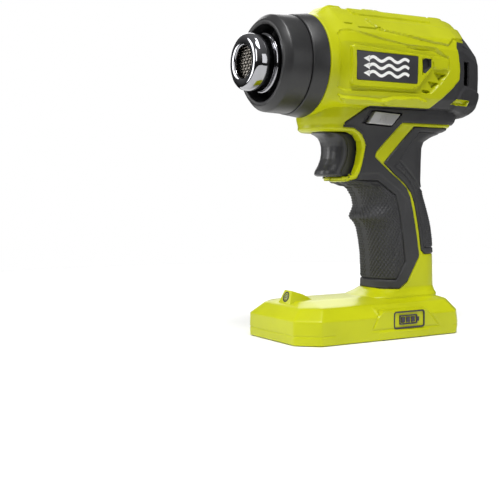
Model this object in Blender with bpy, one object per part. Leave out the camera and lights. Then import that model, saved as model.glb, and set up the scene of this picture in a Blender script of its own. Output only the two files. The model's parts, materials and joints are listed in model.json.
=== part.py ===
"""Cordless heat gun, modelled as its separate parts.

Lengths below are millimetres and are turned into metres when a mesh is made. A place is written
(x, s, z): x is sideways, z is height above the ground, and the station s is the distance behind
the seat where the black heat shroud meets the housing. The nozzle points to -Y.
"""
import math

import bmesh
import bpy
from mathutils import Matrix, Vector

MM = 0.001
GAP = 0.3                       # clearance between pieces that touch
SKIN = 2.2                      # thickness of the soft grip layer
WALL = 4.9                      # outer surface to hollow, soft layer included

# Overall shape
SEAT_Y = -50.1                  # row Y of station 0
AXIS_Z = 176.5                  # height of the heater and fan axis
LIP_FRONT = -44.5               # front of the outlet tube
REAR_END = 144.7                # back of the rear cover
SPINE_TOP = 216.0
SHOULDER_R = 33.2               # round front of the housing
BELLY_Z = 148.0                 # underside of the barrel
SECTION_TOP = 214.0

# Right half of the barrel's section, from the top of the spine to the belly
BARREL_SECTION = [(0, 214.0), (10, 214.0), (15.2, 209.2), (20.5, 204.2), (28.3, 196.5), (31.2, 190.0),
                  (31.8, 176.5), (31.2, 163.0), (30.7, 156.6), (27.0, 150.4), (20.0, 148.7), (10, 148.2),
                  (0, 148.0)]

# Rear end of the barrel: station, half width, top, bottom
BARREL_REAR = [(107, 31.6, 214.0, 148.0), (113, 30.2, 213.4, 147.0), (118, 28.6, 212.2, 144.6),
               (123.6, 26.6, 208.9, 146.0), (129, 24.2, 206.2, 148.5), (134, 21.0, 203.4, 151.2),
               (138.8, 16.8, 199.4, 155.2), (142.3, 12.0, 195.0, 163.0), (144.7, 7.0, 188.0, 170.0)]

# Handle and yoke: height, front, rear, half width, front corner radius, rear corner radius
HANDLE = [(153.5, 0.6, 121.0, 21.8, 21.0, 14), (147.0, 0.5, 121.0, 21.6, 21.0, 14),
          (143.2, 0.2, 119.2, 21.2, 20.4, 14), (140.5, 0.7, 116.4, 20.6, 19.8, 14),
          (138.0, 1.5, 113.4, 20.0, 19.2, 14), (135.4, 2.6, 107.5, 19.4, 18.6, 14),
          (132.9, 5.0, 100.0, 19.0, 17.6, 14), (129.4, 8.0, 94.0, 18.6, 16.6, 14.3),
          (125.0, 10.0, 92.4, 18.2, 16.0, 14.3), (115.0, 15.0, 92.3, 17.8, 15.5, 14.3),
          (106.0, 21.0, 92.3, 17.6, 15.0, 14.3), (103.2, 23.0, 92.3, 17.5, 15.0, 14.3),
          (101.2, 28.0, 92.4, 17.5, 15.0, 14.3), (99.6, 36.0, 92.7, 17.5, 14.6, 14.3),
          (98.3, 41.2, 92.9, 17.5, 14.3, 14.3), (91.8, 45.7, 94.6, 17.5, 14.3, 14.3),
          (86.3, 46.9, 96.7, 17.5, 14.3, 14.3), (81.5, 45.9, 98.4, 17.5, 14.3, 14.3),
          (78.0, 45.0, 99.6, 17.5, 14.3, 14.3), (74.5, 47.6, 100.7, 17.5, 14.3, 14.3),
          (70.7, 49.8, 101.7, 17.5, 14.3, 14.3), (62.5, 51.7, 103.1, 17.5, 14.3, 14.3),
          (53.0, 53.2, 103.9, 17.5, 14.3, 14.3), (40.0, 53.8, 104.5, 17.5, 14.3, 14.3),
          (30.2, 53.6, 104.9, 17.5, 14.3, 14.3), (27.6, 48.8, 105.2, 18.6, 15.0, 14.6),
          (25.0, 42.0, 105.6, 21.0, 16.0, 15.2), (16.0, 42.0, 103.0, 21.0, 16.0, 15.2)]

# Foot: height, front, rear, half width, half width of the front face, corner length
FOOT = [(0.0, -23.7, 106.6, 39.2, 26.9, 12.9), (6.0, -23.9, 107.4, 39.2, 26.9, 12.9),
        (15.0, -23.7, 106.0, 39.0, 26.7, 12.9), (22.2, -15.4, 102.5, 31.4, 21.4, 10.5),
        (25.3, -8.0, 98.0, 13.0, 8.0, 5.0)]
FOOT_FLOOR = 9.2                # height of the recess the battery sits in
FOOT_DECK = 12.0                # top of the floor plate
FOOT_RIM = 8.8                  # top of the rim round that recess
FOOT_NECK = 28.5                # height at which the handle leaves the foot

# Side-view outlines (s, z)
GRIP_OUTLINE = [(125.0, 220), (122.0, 205.8), (120.0, 201.4), (117.4, 196.9), (107.5, 196.6),
                (105.6, 192.0), (106.8, 187.0), (108.0, 177.3), (107.6, 170.5), (101.5, 164.2),
                (90.9, 155.7), (84.6, 150.1), (36.0, 150.1), (20.0, 140.0), (18.6, 136.9),
                (27.8, 136.5), (34.3, 132.7), (38.3, 126.0), (35.5, 114.1), (32.6, 104.3),
                (29.4, 100.6), (22.0, 99.8), (22.0, 31.4), (68.0, 29.8), (74.6, 34.2), (85.0, 51.3),
                (83.6, 60.2), (81.7, 70.5), (79.4, 81.5), (76.7, 91.6), (73.6, 97.7), (67.5, 102.8),
                (58.9, 108.7), (51.3, 114.3), (46.4, 118.1), (47.1, 121.4), (67.1, 141.0),
                (160.0, 140.4), (160.0, 220)]
BACKSTRAP_OUTLINE = [(125.0, 138.4), (77.5, 138.9), (53.6, 114.3), (63.2, 106.6), (71.8, 100.6),
                     (77.4, 94.3), (80.2, 87.6), (82.9, 76.0), (84.9, 65.7), (86.3, 55.4),
                     (89.0, 52.5), (125.0, 52.5)]
TRIGGER_MOUTH = [(-30, 134.6), (25.6, 134.5), (30.8, 132.4), (34.2, 128.4), (35.0, 123.4),
                 (33.5, 114.8), (30.6, 107.6), (26.0, 104.8), (-30, 104.4)]
PLATE_OUTLINE = [(20.2, 166.0), (69.4, 165.8), (69.9, 183.4), (20.0, 184.1)]
FRAME_OUTLINE = [(17.6, 161.8), (64.0, 161.3), (70.6, 162.9), (81.9, 176.6), (81.9, 181.8),
                 (78.8, 184.5), (20.0, 188.1), (16.6, 187.2), (15.9, 163.6)]
SIDE_VENT = [(72.9, 170.4), (81.0, 176.8), (81.0, 182.6), (72.9, 182.8)]
REAR_VENT = [(113.8, 168.0), (119.5, 167.0), (119.5, 183.0), (113.8, 183.0)]
LOW_VENT = [(101.6, 153.6), (116.6, 153.4), (119.4, 157.2), (105.6, 157.4)]
LOCK_OUTLINE = [(36.9, 139.8), (56.7, 138.9), (63.8, 146.4), (42.7, 147.6)]
BADGE_OUTLINE = [(46.0, 7.6), (47.2, 6.5), (70.4, 6.5), (71.6, 7.6), (71.6, 16.6), (70.4, 17.7),
                 (47.2, 17.7), (46.0, 16.6)]

# Lamp in the foot: centre of the lens face, and the way it looks
LAMP = (0.0, -11.6, 27.3)
LAMP_DIRECTION = (0.0, -0.944, 0.330)

# Screws (s, z) and their seats
SCREWS = [(14.0, 207.0), (98.0, 207.0), (136.4, 176.5), (11.3, 143.7), (104.0, 141.5), (53.0, 96.3),
          (14.0, 14.6), (101.4, 14.6)]
BOSS_R = 4.9
HEAD_SEAT_X = -10.0

# Battery socket: half width, front, rear, top
SOCKET = (11.2, 62.3, 96.3, 62.0)

MATERIALS = {
    "lime_shell": ((0.545, 0.620, 0.010), 0.38, 0.0),
    "soft_grip": ((0.040, 0.040, 0.043), 0.72, 0.0),
    "black_shroud": ((0.022, 0.022, 0.024), 0.50, 0.0),
    "chromed_steel": ((0.78, 0.78, 0.80), 0.10, 1.0),
    "heat_steel": ((0.42, 0.41, 0.40), 0.35, 1.0),
    "mica": ((0.50, 0.40, 0.24), 0.55, 0.0),
    "heating_wire": ((0.30, 0.27, 0.25), 0.42, 1.0),
    "duct_plastic": ((0.05, 0.05, 0.055), 0.55, 0.0),
    "fan_plastic": ((0.012, 0.012, 0.013), 0.45, 0.0),
    "motor_steel": ((0.46, 0.46, 0.47), 0.30, 1.0),
    "trigger_plastic": ((0.030, 0.030, 0.033), 0.35, 0.0),
    "switch_plastic": ((0.015, 0.015, 0.016), 0.50, 0.0),
    "spring_steel": ((0.55, 0.55, 0.56), 0.25, 1.0),
    "silver_plastic": ((0.56, 0.56, 0.57), 0.32, 0.3),
    "circuit_board": ((0.02, 0.16, 0.06), 0.45, 0.0),
    "terminal_plastic": ((0.02, 0.02, 0.02), 0.55, 0.0),
    "terminal_brass": ((0.66, 0.48, 0.20), 0.28, 1.0),
    "lamp_lens": ((0.85, 0.88, 0.90), 0.08, 0.0),
    "plate_grey": ((0.10, 0.10, 0.11), 0.40, 0.0),
    "badge_print": ((0.08, 0.07, 0.10), 0.40, 0.0),
    "screw_steel": ((0.10, 0.10, 0.10), 0.38, 1.0),
    "wire_red": ((0.50, 0.01, 0.01), 0.45, 0.0),
    "wire_black": ((0.012, 0.012, 0.012), 0.45, 0.0),
    "wire_white": ((0.62, 0.61, 0.57), 0.50, 0.0),
}


# --- Making meshes -------------------------------------------------------------------------------

def material(slot):
    """The slot's Principled material, made the first time it is asked for."""
    found = bpy.data.materials.get(slot)
    if found:
        return found
    color, roughness, metallic = MATERIALS[slot]
    made = bpy.data.materials.new(slot)
    made.use_nodes = True
    shader = made.node_tree.nodes["Principled BSDF"]
    shader.inputs["Base Color"].default_value = (*color, 1.0)
    shader.inputs["Roughness"].default_value = roughness
    shader.inputs["Metallic"].default_value = metallic
    return made


def place(x, s, z):
    """A point in metres from its place in millimetres."""
    return Vector((x, s + SEAT_Y, z)) * MM


def make_object(name, bm, slot, smooth=None):
    """Turn a bmesh into an object with its material; smooth is the sharp-edge angle in degrees."""
    bmesh.ops.recalc_face_normals(bm, faces=bm.faces)
    mesh = bpy.data.meshes.new(name)
    bm.to_mesh(mesh)
    bm.free()
    mesh.materials.append(material(slot))
    if smooth:
        mesh.shade_smooth()
        mesh.set_sharp_from_angle(angle=math.radians(smooth))
    made = bpy.data.objects.new(name, mesh)
    bpy.context.collection.objects.link(made)
    return made


def loft(name, rings, slot, smooth=None):
    """Skin a closed solid over rings of places that all hold the same number of points."""
    bm = bmesh.new()
    rows = [[bm.verts.new(place(*p)) for p in ring] for ring in rings]
    for lower, upper in zip(rows, rows[1:]):
        for i in range(len(lower)):
            j = (i + 1) % len(lower)
            bm.faces.new((lower[i], lower[j], upper[j], upper[i]))
    bm.faces.new(rows[0])
    bm.faces.new(rows[-1])
    return make_object(name, bm, slot, smooth)


def prism(name, outline, x0, x1, slot, smooth=None):
    """A side-view outline (s, z) pulled from x0 to x1."""
    return loft(name, [[(x, s, z) for s, z in outline] for x in (x0, x1)], slot, smooth)


def box(name, low, high, slot):
    """A box between two opposite corners."""
    outline = [(low[1], low[2]), (high[1], low[2]), (high[1], high[2]), (low[1], high[2])]
    return prism(name, outline, low[0], high[0], slot)


def hull(name, places, slot):
    """The convex hull of some places."""
    bm = bmesh.new()
    for p in places:
        bm.verts.new(place(*p))
    result = bmesh.ops.convex_hull(bm, input=bm.verts)
    loose = [v for v in result["geom_interior"] if isinstance(v, bmesh.types.BMVert)]
    bmesh.ops.delete(bm, geom=loose, context="VERTS")
    return make_object(name, bm, slot)


def frame_along(direction):
    """Two unit vectors square to a direction and to each other."""
    along = Vector(direction).normalized()
    other = Vector((1, 0, 0)) if abs(along.x) < 0.9 else Vector((0, 0, 1))
    first = along.cross(other).normalized()
    return first, along.cross(first).normalized(), along


def turned(name, profile, centre, direction, slot, sides=32, smooth=35):
    """Turn a profile of (radius, distance along the axis) about an axis.

    A profile that starts and ends on the axis is a solid of revolution; any other is a closed
    loop, and gives a ring.
    """
    first, second, along = frame_along(direction)
    origin = place(*centre)
    open_profile = profile[0][0] == 0 and profile[-1][0] == 0
    inner = profile[1:-1] if open_profile else profile
    bm = bmesh.new()
    columns = []
    for k in range(sides):
        turn = 2 * math.pi * k / sides
        out = first * math.cos(turn) + second * math.sin(turn)
        columns.append([bm.verts.new(origin + (out * r + along * d) * MM) for r, d in inner])
    spans = len(inner) - 1 if open_profile else len(inner)
    for k in range(sides):
        a, b = columns[k], columns[(k + 1) % sides]
        for i in range(spans):
            j = (i + 1) % len(inner)
            bm.faces.new((a[i], a[j], b[j], b[i]))
    if open_profile:
        for row, (_, d) in ((0, profile[0]), (-1, profile[-1])):
            tip = bm.verts.new(origin + along * d * MM)
            for k in range(sides):
                bm.faces.new((columns[k][row], columns[(k + 1) % sides][row], tip))
    return make_object(name, bm, slot, smooth)


def rod(name, centre, direction, radius, start, end, slot, sides=24):
    """A plain round rod along an axis."""
    profile = [(0, start), (radius, start), (radius, end), (0, end)]
    return turned(name, profile, centre, direction, slot, sides)


def tube_ring(name, inner, outer, front, rear, slot, sides=40):
    """A plain tube on the heater axis between two stations."""
    profile = [(inner, front), (outer, front), (outer, rear), (inner, rear)]
    return turned(name, profile, (0, 0, AXIS_Z), (0, 1, 0), slot, sides)


def swept(name, route, radius, slot, sides):
    """A wire of round section along a list of places."""
    points = [place(*p) for p in route]
    bm = bmesh.new()
    rows = []
    side = None
    for i, point in enumerate(points):
        ahead = points[min(i + 1, len(points) - 1)] - points[max(i - 1, 0)]
        ahead.normalize()
        if side is None:
            side = frame_along(ahead)[0]
        side = (side - ahead * side.dot(ahead)).normalized()
        up = ahead.cross(side)
        turns = [2 * math.pi * k / sides for k in range(sides)]
        rows.append([bm.verts.new(point + (side * math.cos(t) + up * math.sin(t)) * radius * MM)
                     for t in turns])
    for lower, upper in zip(rows, rows[1:]):
        for i in range(sides):
            j = (i + 1) % sides
            bm.faces.new((lower[i], lower[j], upper[j], upper[i]))
    bm.faces.new(rows[0])
    bm.faces.new(rows[-1])
    return make_object(name, bm, slot, 40)


def smooth_route(knots, steps):
    """Points on a Catmull-Rom curve through the knots."""
    ends = [knots[0]] + list(knots) + [knots[-1]]
    route = []
    for a, b, c, d in zip(ends, ends[1:], ends[2:], ends[3:]):
        for k in range(steps):
            t = k / steps
            route.append(tuple(
                0.5 * (2 * q + (r - p) * t + (2 * p - 5 * q + 4 * r - w) * t * t
                       + (3 * q - p - 3 * r + w) * t ** 3)
                for p, q, r, w in zip(a, b, c, d)))
    return route + [tuple(knots[-1])]


def combine(target, tool, operation, keep=False):
    """Apply a Boolean to the target. The tool object goes away unless keep is set."""
    change = target.modifiers.new("combine", "BOOLEAN")
    change.operation = operation
    change.solver = "EXACT"
    change.object = tool
    graph = bpy.context.evaluated_depsgraph_get()
    result = bpy.data.meshes.new_from_object(target.evaluated_get(graph))
    target.modifiers.clear()
    old = target.data
    result.name = old.name
    target.data = result
    bpy.data.meshes.remove(old)
    if not keep:
        bpy.data.objects.remove(tool)
    return target


def copy_of(source, name):
    """A separate object with its own copy of the mesh."""
    made = source.copy()
    made.data = source.data.copy()
    made.name = name
    bpy.context.collection.objects.link(made)
    return made


def smoothstep(a, b, value):
    """0 below a, 1 above b, and an even S curve between them."""
    t = min(1.0, max(0.0, (value - a) / (b - a)))
    return t * t * (3 - 2 * t)


def table(rows, key):
    """Read a table of numbers at a key by straight-line interpolation."""
    ordered = sorted(rows)
    if key <= ordered[0][0]:
        return ordered[0][1:]
    for low, high in zip(ordered, ordered[1:]):
        if key <= high[0]:
            t = (key - low[0]) / (high[0] - low[0])
            return tuple(p + (q - p) * t for p, q in zip(low[1:], high[1:]))
    return ordered[-1][1:]


def shrink(outline, distance):
    """Move every edge of a closed 2-D outline inwards by a distance."""
    count = len(outline)
    area = sum(outline[i][0] * outline[(i + 1) % count][1] - outline[(i + 1) % count][0] * outline[i][1]
               for i in range(count))
    sign = 1 if area > 0 else -1
    moved = []
    for i in range(count):
        before, here, after = (Vector(outline[(i + k) % count]) for k in (-1, 0, 1))
        one = (here - before).normalized()
        two = (after - here).normalized()
        normal_one = Vector((-one.y, one.x)) * sign
        normal_two = Vector((-two.y, two.x)) * sign
        mitre = (normal_one + normal_two).normalized()
        moved.append(tuple(here + mitre * distance / max(0.35, mitre.dot(normal_one))))
    return moved


# --- The three master shapes of the shell --------------------------------------------------------

def barrel_ring(s, inset):
    """Section of the barrel at a station: round at the shroud seat, faceted behind it."""
    half_width, top, bottom = table(BARREL_REAR, s)
    scale = (half_width - inset) / BARREL_REAR[0][1]
    top, bottom = top - inset, bottom + inset
    shape = []
    for x, z in BARREL_SECTION:
        height = bottom + (z - BELLY_Z) * (top - bottom) / (SECTION_TOP - BELLY_Z)
        shape.append((x * scale, height))
    full = shape + [(-x, z) for x, z in reversed(shape[1:-1])]
    blend = smoothstep(3.5, 16.0, s)
    ring = []
    for x, z in full:
        angle = math.atan2(z - AXIS_Z, x)
        round_x = (SHOULDER_R - inset) * math.cos(angle)
        round_z = AXIS_Z + (SHOULDER_R - inset) * math.sin(angle)
        ring.append((round_x + (x - round_x) * blend, round_z + (z - round_z) * blend))
    return ring


def barrel(name, inset, slot="lime_shell"):
    """The barrel's solid, set in from its outer surface by a distance."""
    stations = [0, 4, 8, 12, 16, 60] + [row[0] for row in BARREL_REAR]
    rings = []
    for s in stations:
        rearness = smoothstep(112, 140, s)
        frontness = 1 - smoothstep(0, 16, s)
        behind = s + inset * (frontness - rearness)
        rings.append([(x, behind, z) for x, z in barrel_ring(s, inset * (1 - 0.5 * rearness))])
    return loft(name, rings, slot, 30)


def handle_ring(z, inset, per_corner):
    """Section of the handle at a height: straight sides with round corners."""
    front, rear, half_width, front_r, rear_r = table(HANDLE, z)
    front, rear, half_width = front + inset, rear - inset, half_width - inset
    front_r = min(front_r - inset, half_width - 0.4)
    rear_r = min(rear_r - inset, half_width - 0.4)
    corners = [(half_width - rear_r, rear - rear_r, rear_r, 0), (rear_r - half_width, rear - rear_r, rear_r, 90),
               (front_r - half_width, front + front_r, front_r, 180),
               (half_width - front_r, front + front_r, front_r, 270)]
    ring = []
    for x, s, radius, start in corners:
        for k in range(per_corner + 1):
            angle = math.radians(start + 90 * k / per_corner)
            ring.append((x + radius * math.cos(angle), s + radius * math.sin(angle), z))
    return ring


def handle(name, inset, slot="lime_shell", per_corner=4, heights=None):
    """The handle's solid from inside the foot up into the barrel."""
    heights = heights or [row[0] for row in reversed(HANDLE)]
    return loft(name, [handle_ring(z, inset, per_corner) for z in heights], slot, 30)


def foot_ring(z, inset=0.0):
    """Outline of the foot at a height, with its four cut corners."""
    front, rear, half_width, face, corner = table(FOOT, z)
    right = [(face, front), (half_width, front + corner), (half_width, rear - 7), (half_width - 7, rear)]
    outline = right + [(-x, s) for x, s in reversed(right)]
    return [(x, s, z) for x, s in shrink(outline, inset)]


def foot(name, slot="lime_shell"):
    """The foot's solid."""
    return loft(name, [foot_ring(row[0]) for row in FOOT], slot)


# --- Housing -------------------------------------------------------------------------------------

def outer_shell():
    """Barrel, handle, foot and the raised details on them as one solid."""
    shell = barrel("shell", 0)
    combine(shell, handle("handle_tool", 0), "UNION")
    combine(shell, foot("foot_tool"), "UNION")
    for low_s, high_s, height in ((13.0, 27.0, SPINE_TOP), (99.5, 112.0, 215.1)):
        pad = [(x, s, z) for x, reach, z in ((6.5, 0.0, 212.5), (-6.5, 0.0, 212.5))
               for s in (low_s - 4, high_s + 2)]
        pad += [(x, s, height) for x in (5.0, -5.0) for s in (low_s + 4, high_s)]
        combine(shell, hull("spine_pad", pad, "lime_shell"), "UNION")
    lamp_hood = [(side * x, s, z) for side in (-1, 1) for x, s, z in
                 ((4.0, -10.6, 31.8), (7.0, -13.4, 23.4), (7.2, -13.8, 21.0), (7.5, 9.8, 22.0), (7.5, 9.8, 21.0))]
    combine(shell, hull("lamp_hood", lamp_hood, "lime_shell"), "UNION")
    for side in (-1, 1):
        pad = prism("frame_pad", FRAME_OUTLINE, side * 29.0, side * 33.0, "lime_shell")
        combine(shell, pad, "UNION")
    return shell


def screw_hole(s, z):
    """The space a screw takes up: head seat, clearance hole and blind pilot hole."""
    profile = [(0, -70), (3.9, -70), (3.9, HEAD_SEAT_X), (1.75, HEAD_SEAT_X), (1.75, 9.0), (0, 9.0)]
    return turned("screw_hole", profile, (0, s, z), (1, 0, 0), "lime_shell", 12)


def hollow():
    """The hollow inside the shell, less the screw bosses that cross it."""
    space = barrel("barrel_hollow", WALL)
    heights = (SOCKET[3], 71, 78, 86.3, 98.3, 103.2, 125.0, 132.9, 143.2, 153.5)
    combine(space, handle("handle_hollow", WALL, per_corner=3, heights=heights), "UNION")
    half, front, rear, top = SOCKET
    combine(space, box("socket", (-half, front, -5), (half, rear, top + 3), "lime_shell"), "UNION")
    heights = (FOOT_DECK, 15.0, 20.0, 22.4)
    inside = loft("foot_hollow", [foot_ring(z, 3.6) for z in heights], "lime_shell")
    combine(space, inside, "UNION")
    combine(space, box("lead_channel", (-1.6, 57.6, FOOT_DECK + 1), (1.6, 66, 70), "lime_shell"), "UNION")
    for s, z in SCREWS:
        boss = rod("boss", (0, s, z), (1, 0, 0), BOSS_R, -70, 70, "lime_shell", 10)
        combine(space, boss, "DIFFERENCE")
    return space


def openings(target, with_screws):
    """Cut everything that opens the shell to the outside."""
    combine(target, prism("mouth", TRIGGER_MOUTH, -40, 40, "lime_shell"), "DIFFERENCE")
    combine(target, box("pocket", (-14, 16, 104.9), (14, 44, 134.4), "lime_shell"), "DIFFERENCE")
    combine(target, rod("front_hole", (0, 0, AXIS_Z), (0, 1, 0), 23.6, -3, 7, "lime_shell"), "DIFFERENCE")
    lock = shrink(LOCK_OUTLINE, -0.35)
    combine(target, prism("lock_way", lock, -40, 40, "lime_shell"), "DIFFERENCE")
    for outline in (SIDE_VENT, REAR_VENT, LOW_VENT):
        for side in (-1, 1):
            vent = prism("vent", outline, side * 14, side * 45, "lime_shell")
            combine(target, vent, "DIFFERENCE")
    for side in (-1, 1):
        pocket = shrink(PLATE_OUTLINE, -GAP)
        combine(target, prism("plate_pocket", pocket, side * 31.4, side * 36, "lime_shell"), "DIFFERENCE")
        pocket = shrink(BADGE_OUTLINE, -GAP)
        combine(target, prism("badge_pocket", pocket, side * 38.2, side * 42, "lime_shell"), "DIFFERENCE")
    lamp_way = rod("lamp_way", LAMP, LAMP_DIRECTION, 2.7, -14, 4, "lime_shell", 16)
    combine(target, lamp_way, "DIFFERENCE")
    recess = loft("battery_recess", [foot_ring(z, 3.0) for z in (0.01, FOOT_FLOOR)], "lime_shell")
    for vertex in recess.data.vertices:
        if vertex.co.z < 0.001:
            vertex.co.z = -0.004
    combine(target, recess, "DIFFERENCE")
    if with_screws:
        for s, z in SCREWS:
            combine(target, screw_hole(s, z), "DIFFERENCE")


def halves(source, names):
    """Split a solid at the centre plane into its left (+X) and right (-X) pieces."""
    for name, low, high in ((names[0], GAP / 2, 60), (names[1], -60, -GAP / 2)):
        piece = copy_of(source, name)
        combine(piece, box("half", (low, -120, -20), (high, 220, 260), "lime_shell"), "INTERSECT")
    bpy.data.objects.remove(source)


def soft_layer(shell, outline, names):
    """The soft layer inside a side-view outline, as a left and a right piece."""
    layer = copy_of(shell, names[0] + "_both")
    layer.data.materials.clear()
    layer.data.materials.append(material("soft_grip"))
    combine(layer, prism("region", shrink(outline, GAP), -70, 70, "soft_grip"), "INTERSECT")
    combine(layer, barrel("core_barrel", SKIN, "soft_grip"), "DIFFERENCE")
    combine(layer, handle("core_handle", SKIN, "soft_grip"), "DIFFERENCE")
    openings(layer, True)
    halves(layer, names)


def part_foot(side):
    """Part the foot and its rim from a housing half, so that each is a simpler solid."""
    housing = bpy.data.objects["housing_" + side]
    neck = FOOT_NECK - GAP / 2
    rim = copy_of(housing, "foot_rim_" + side)
    combine(rim, box("below", (-70, -120, -20), (70, 220, FOOT_RIM), "lime_shell"), "INTERSECT")
    foot_side = copy_of(housing, "foot_" + side)
    outline = [(-70, FOOT_RIM + GAP), (170, FOOT_RIM + GAP), (170, neck), (35, neck), (35, 45), (-70, 45)]
    combine(foot_side, prism("foot_part", outline, -70, 70, "lime_shell"), "INTERSECT")
    outline = [(-70, -20), (170, -20), (170, neck + GAP), (35, neck + GAP), (35, 45), (-70, 45)]
    combine(housing, prism("foot_room", outline, -70, 70, "lime_shell"), "DIFFERENCE")


def build_shell():
    """Both housing halves and the soft layers that lie in them."""
    shell = outer_shell()
    soft_layer(shell, GRIP_OUTLINE, ("grip_cover_left", "grip_cover_right"))
    soft_layer(shell, BACKSTRAP_OUTLINE, ("backstrap_left", "backstrap_right"))
    for outline in (GRIP_OUTLINE, BACKSTRAP_OUTLINE):
        combine(shell, prism("region", outline, -70, 70, "lime_shell"), "DIFFERENCE")
    combine(shell, barrel("core_barrel", SKIN + GAP), "UNION")
    combine(shell, handle("core_handle", SKIN + GAP), "UNION")
    combine(shell, hollow(), "DIFFERENCE")
    openings(shell, True)
    halves(shell, ("housing_left", "housing_right"))
    for side in ("left", "right"):
        part_foot(side)


# --- Front end -----------------------------------------------------------------------------------

def build_front():
    """Black heat shroud in two pieces, chromed outlet tube and its grille."""
    axis = ((0, 0, AXIS_Z), (0, 1, 0))
    ring = [(24.1, -30.0), (24.7, -30.6), (26.6, -30.6), (27.1, -30.3), (30.2, -27.0), (31.2, -12.1),
            (27.6, -12.1), (25.4, -14.5), (24.1, -16.0)]
    turned("shroud_ring", ring, *axis, "black_shroud", 40)
    collar = [(18.4, -11.6), (31.7, -11.6), (33.2, -0.3), (29.5, -0.3), (28.4, -8.8), (18.4, -8.8)]
    turned("shroud_collar", collar, *axis, "black_shroud", 40)
    outlet = [(10.2, LIP_FRONT + 1.6), (10.4, LIP_FRONT + 0.8), (11.6, LIP_FRONT + 0.2), (14.0, LIP_FRONT),
              (16.2, LIP_FRONT + 0.6), (17.5, LIP_FRONT + 2.0), (17.9, LIP_FRONT + 3.8), (17.9, -31.6),
              (17.2, -30.9), (17.2, -30.3), (18.8, -29.8), (18.8, -28.6), (17.9, -27.8), (17.9, -8.0),
              (20.6, 1.0), (20.6, 7.0), (19.9, 7.0), (19.9, 1.4), (17.0, -7.4), (16.6, -28.0),
              (16.6, -31.0), (17.0, -32.2), (17.0, LIP_FRONT + 3.9), (16.6, LIP_FRONT + 2.5),
              (15.5, LIP_FRONT + 1.4), (14.0, LIP_FRONT + 1.0), (12.0, LIP_FRONT + 1.1),
              (11.2, LIP_FRONT + 1.7)]
    turned("outlet_tube", outlet, *axis, "chromed_steel", 32)
    grille = rod("outlet_grille", *axis, 16.6, -40.4, -39.4, "heat_steel", 32)
    pitch, half = 4.6, 1.5
    for i in range(-2, 3):
        for j in range(-2, 3):
            if abs(i) + abs(j) > 2:
                continue
            x, z = i * pitch, AXIS_Z + j * pitch
            hole = box("hole", (x - half, -42, z - half), (x + half, -38, z + half), "heat_steel")
            combine(grille, hole, "DIFFERENCE")


# --- Heater, fan and motor -----------------------------------------------------------------------

def build_heater():
    """Steel heater tube, mica sleeve, mica cross, wound wire and thermal cut-out."""
    tube_ring("heater_tube", 21.0, 21.8, 1.5, 60.0, "heat_steel")
    tube_ring("mica_sleeve", 18.6, 19.3, 9.0, 58.0, "mica", 32)
    former = box("mica_former", (-14.2, 11, AXIS_Z - 0.6), (14.2, 55, AXIS_Z + 0.6), "mica")
    upright = box("upright", (-0.6, 11, AXIS_Z - 14.2), (0.6, 55, AXIS_Z + 14.2), "mica")
    combine(former, upright, "UNION")
    radius, turns, steps = 15.6, 7, 10
    helix = []
    for k in range(turns * steps + 1):
        angle = 2 * math.pi * k / steps
        height = AXIS_Z + radius * math.sin(angle)
        helix.append((radius * math.cos(angle), 14 + 38 * k / (turns * steps), height))
    swept("heating_coil", helix, 0.6, "heating_wire", 4)
    cutout = [(0, 22.2), (3.0, 22.2), (3.0, 23.0), (6.0, 23.0), (6.0, 26.4), (0, 26.4)]
    turned("thermal_cutout", cutout, (0, 40, AXIS_Z), (0, 0, 1), "heat_steel", 20)


def build_fan():
    """Air duct, fan wheel on its shaft, motor and the mount that holds it."""
    axis = ((0, 0, AXIS_Z), (0, 1, 0))
    duct = [(20.6, 60.6), (22.0, 60.6), (22.0, 66.0), (25.0, 80.0), (25.0, 97.0), (23.8, 97.0),
            (23.8, 80.4), (20.8, 66.4), (20.6, 64)]
    turned("air_duct", duct, *axis, "duct_plastic", 32)
    impeller = turned("fan_impeller", [(1.55, 82), (5, 82), (8, 84), (8, 94), (1.55, 94)], *axis,
                      "fan_plastic", 24)
    blades = 7
    for k in range(blades):
        turn = Matrix.Rotation(2 * math.pi * k / blades, 3, "Y")
        twist = []
        for radius, pitch in ((7.4, 38), (15, 28), (23.0, 22)):
            chord, lean = 5.2, math.radians(pitch)
            for across, thick in ((-1, -0.5), (1, -0.5), (1, 0.5), (-1, 0.5)):
                along = across * chord * math.sin(lean) + thick
                around = across * chord * math.cos(lean) * (0.55 + 0.45 * radius / 23)
                twist.append(turn @ Vector((radius, 88.5 + along, around)))
        rings = [twist[0:4], twist[4:8], twist[8:12]]
        rings = [[(p.x, p.y, p.z + AXIS_Z) for p in ring] for ring in rings]
        combine(impeller, loft("blade", rings, "fan_plastic"), "UNION")
    rod("fan_shaft", *axis, 1.5, 81, 97.6, "motor_steel", 12)
    can = [(0, 99), (4, 99), (4, 100), (14, 100.6), (14, 125.4), (0, 125.4)]
    turned("motor_can", can, *axis, "motor_steel", 32)
    end_cap = [(0, 125.7), (13.6, 125.7), (13.6, 128.2), (5, 128.2), (5, 130.6), (0, 130.6)]
    turned("motor_end_cap", end_cap, *axis, "switch_plastic", 24)
    mount = tube_ring("motor_mount", 14.3, 17.0, 104, 111, "duct_plastic", 32)
    for angle in (45, 135, 225, 315):
        arm = box("arm", (15.5, 104.6, AXIS_Z - 2), (23.4, 110.4, AXIS_Z + 2), "duct_plastic")
        pivot = place(0, 0, AXIS_Z)
        turn = Matrix.Translation(pivot) @ Matrix.Rotation(math.radians(angle), 4, "Y")
        arm.data.transform(turn @ Matrix.Translation(-pivot))
        combine(mount, arm, "UNION")


# --- Controls and electrics ----------------------------------------------------------------------

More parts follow.
